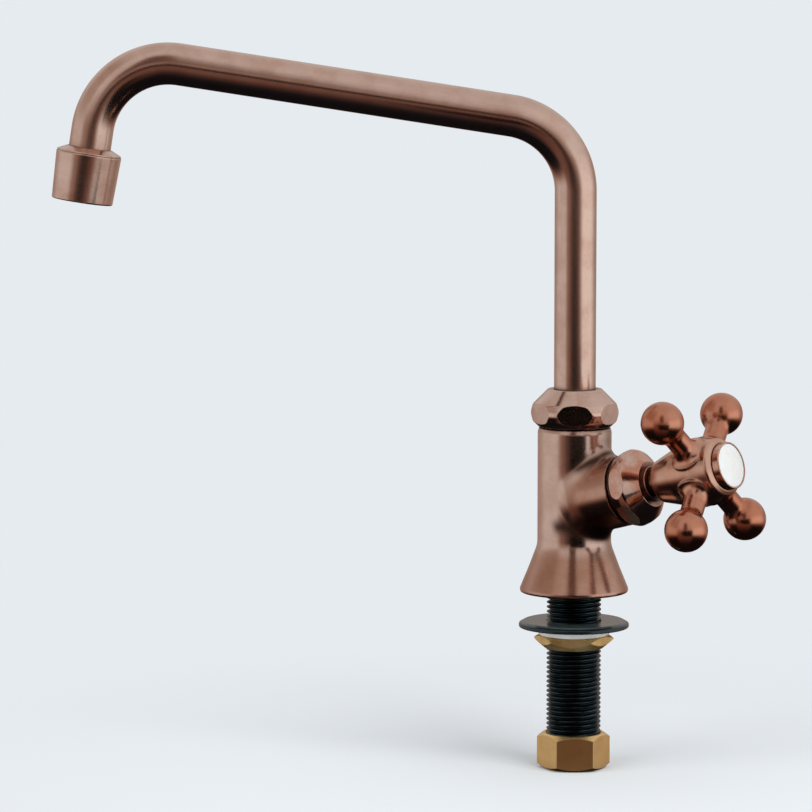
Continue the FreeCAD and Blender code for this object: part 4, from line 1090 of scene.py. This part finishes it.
class TAP_OT_body(bpy.types.Operator):
    """Lay the body's skin, and finish it, its two barrel nuts and the spindle in brushed copper"""

    bl_idname = "tap.body"
    bl_label = "Body and nuts"

    def execute(self, context):
        colours = context.scene.tap_colours
        copper = colours.copper_shades()
        # The body takes strong painted shade from its hollows, under the branch and in the crook
        body = brushed_metal("body_copper", copper, gloss=0.17, soften=1.0 * MM, deeper=off_the_barrel,
                             hollows=0.95, around=24 * MM, sheltered=(0.95, 0.50), crook=True)
        stand_for(melted_body(context.scene.tap_body), body, "tap_body")
        finish_nodes(brushed_metal("spout_nut_copper", copper, gloss=0.12, patina=0.6), "spout_nut")
        dim = (colours.copper, colours.red_copper_patina, colours.copper_hollow_patina_and_shade)
        valve = brushed_metal("valve_copper", dim, VALVE_AXIS, VALVE_POINT, gloss=0.13, patina=0.9)
        finish_nodes(valve, "bonnet_nut", "spindle")
        return {"FINISHED"}


class TAP_OT_spout(bpy.types.Operator):
    """Draw the spout's bent tube and finish it and its outlet"""

    bl_idname = "tap.spout"
    bl_label = "Spout"

    def execute(self, context):
        copper = context.scene.tap_colours.copper_shades()
        tube = context.scene.tap_tube
        path = TubePath(tube)
        made = draw_wall(path, tube.radius, tube.groove)
        join(made, draw_wall(path, tube.radius - tube.wall, 0.0))
        foot = Vector((0, 0, tube.foot))
        close_ends(made, (foot, UP), (path.corner + path.down * tube.end, path.down))
        bpy.ops.object.shade_smooth_by_angle(angle=SHARP_EDGE)
        unroll(made, path)
        finish = brushed_metal("tube_copper", copper, gloss=0.19, patina=0.35, uv=TUBE_MAP)
        stand_for(made, finish, "spout_pipe")
        outlet = brushed_metal("outlet_copper", copper, OUTLET_AXIS, OUTLET_POINT, gloss=0.18)
        finish_nodes(outlet, "outlet_collar", "outlet_cap")
        return {"FINISHED"}


class TAP_OT_handle(bpy.types.Operator):
    """Finish the cross handle, its bezel and the white button"""

    bl_idname = "tap.handle"
    bl_label = "Handle"

    def execute(self, context):
        colours = context.scene.tap_colours
        copper = (colours.red_copper, colours.red_copper_patina, colours.copper_hollow_patina_and_shade)
        # The cross takes strong painted shade from its hollows, between its arms and under them
        cross = brushed_metal("cross_copper", copper, VALVE_AXIS, VALVE_POINT, gloss=0.17, soften=0.8 * MM,
                              deeper=towards_balls, hollows=0.95, around=18 * MM, sheltered=(0.88, 0.52))
        finish_nodes(cross, "cross_handle")
        bezel = brushed_metal("bezel_copper", copper, VALVE_AXIS, VALVE_POINT, gloss=0.2, patina=0.9)
        finish_nodes(bezel, "button_bezel")
        finish_nodes(glazed("button_glaze", colours.glaze), "index_button")
        return {"FINISHED"}


class TAP_OT_shank(bpy.types.Operator):
    """Cut the shank's thread and finish it in black"""

    bl_idname = "tap.shank"
    bl_label = "Threaded shank"

    def execute(self, context):
        thread = context.scene.tap_thread
        low, high = (corner.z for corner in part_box("threaded_shank"))
        made = cut_thread(thread, low, high)
        select_none()
        bpy.ops.mesh.primitive_cylinder_add(
            vertices=thread.sides, radius=thread.bore, depth=high - low, end_fill_type="NOTHING",
            location=(0, 0, (low + high) / 2))
        bore = context.object
        bpy.ops.object.transform_apply(location=True)
        join(made, bore)
        close_ends(made, (Vector((0, 0, low)), UP), (Vector((0, 0, high)), UP))
        bpy.ops.object.shade_smooth_by_angle(angle=SHARP_EDGE)
        stand_for(made, black_coating("shank_black"), "threaded_shank")
        return {"FINISHED"}


class TAP_OT_clamping(bpy.types.Operator):
    """Finish the brass nuts and the washers below the deck"""

    bl_idname = "tap.clamping"
    bl_label = "Nuts and washers"

    def execute(self, context):
        brass = context.scene.tap_colours.brass_shades()
        finish_nodes(brushed_metal("tail_nut_brass", brass, gloss=0.32, hollows=0.25), "tail_nut")
        lock_nut = brushed_metal("lock_nut_brass", (*LOCK_BRASS, brass[-1]), gloss=0.32, patina=0.8,
                                 hollows=0.1, metal=0.85)
        finish_nodes(lock_nut, "lock_nut")
        # The gasket's sloping rim is painted near black as shade
        rim = (GASKET_RIM_RADIUS, GASKET_RIM_SHADE)
        finish_nodes(moulded("gasket_rubber", GASKET_RUBBER, gloss=0.18, rim=rim), "deck_gasket")
        finish_nodes(moulded("washer_plastic", WASHER_PLASTIC, gloss=0.4), "clamp_washer")
        return {"FINISHED"}


class TAP_OT_inner_parts(bpy.types.Operator):
    """Finish the seals, rings and valve parts inside"""

    bl_idname = "tap.inner_parts"
    bl_label = "Inner parts"

    def execute(self, context):
        brass = context.scene.tap_colours.brass_shades()
        rubber = moulded("seal_rubber", SEAL_RUBBER, gloss=0.5)
        plastic = moulded("ring_plastic", RING_PLASTIC, gloss=0.4)
        finish_nodes(rubber, "lip_seal", "stem_packing", "jumper_washer", "outlet_seal", "tail_packing")
        finish_nodes(plastic, "slip_washer", "packing_ring", "flow_straightener")
        for node, name, axis, centre in (("snap_ring", "ring_steel", UP, (0, 0, 0)),
                                         ("outlet_screen", "screen_steel", OUTLET_AXIS, OUTLET_POINT),
                                         ("handle_screw", "screw_steel", VALVE_AXIS, VALVE_POINT)):
            finish_nodes(brushed_metal(name, STEEL, axis, centre, gloss=0.25, patina=0.3), node)
        valve_brass = brushed_metal("jumper_brass", brass, VALVE_AXIS, VALVE_POINT, gloss=0.26)
        finish_nodes(valve_brass, "jumper_valve", "jumper_nut")
        return {"FINISHED"}


class TAP_OT_stage(bpy.types.Operator):
    """Set up the pale floor, the soft light, the black card and the camera"""

    bl_idname = "tap.stage"
    bl_label = "Stage"

    def execute(self, context):
        settings = context.scene.tap_stage
        context.scene.view_settings.view_transform = "Standard"
        studio_world(settings)
        add_floor(settings)
        add_softbox("key_light", place=(0.9, -1.1, 1.3), size=1.2, watts=22.0)
        add_softbox("fill_light", place=(-1.3, -0.9, 0.9), size=1.4, watts=12.0)
        add_card("black_card", to_right=math.radians(8), distance=0.30, width=0.26, low=-0.07, high=0.06)
        add_camera(settings)
        return {"FINISHED"}


class TAP_PT_panel(bpy.types.Panel):
    """Lists the tap's pieces and its stage"""

    bl_idname = "TAP_PT_panel"
    bl_label = "Pillar Tap"
    bl_space_type = "VIEW_3D"
    bl_region_type = "UI"
    bl_category = "Pillar Tap"

    def draw(self, context):
        for operator in OPERATORS:
            self.layout.operator(operator.bl_idname)


SETTINGS = {"tap_stage": TapStageSettings, "tap_colours": TapColours, "tap_body": TapBodySettings,
            "tap_tube": TapTubeSettings, "tap_thread": TapThreadSettings}
OPERATORS = (TAP_OT_body, TAP_OT_spout, TAP_OT_handle, TAP_OT_shank, TAP_OT_clamping, TAP_OT_inner_parts,
             TAP_OT_stage)
CLASSES = (*SETTINGS.values(), *OPERATORS, TAP_PT_panel)


def register():
    """Makes the settings, the operators and the panel known to Blender."""
    for cls in CLASSES:
        bpy.utils.register_class(cls)
    for name, settings in SETTINGS.items():
        setattr(bpy.types.Scene, name, PointerProperty(type=settings))


def unregister():
    """Takes them away again."""
    for name in SETTINGS:
        delattr(bpy.types.Scene, name)
    for cls in reversed(CLASSES):
        bpy.utils.unregister_class(cls)


def main():
    """Builds every piece and the stage in order."""
    register()
    bpy.ops.tap.body()
    bpy.ops.tap.spout()
    bpy.ops.tap.handle()
    bpy.ops.tap.shank()
    bpy.ops.tap.clamping()
    bpy.ops.tap.inner_parts()
    bpy.ops.tap.stage()


if __name__ == "__main__":
    main()
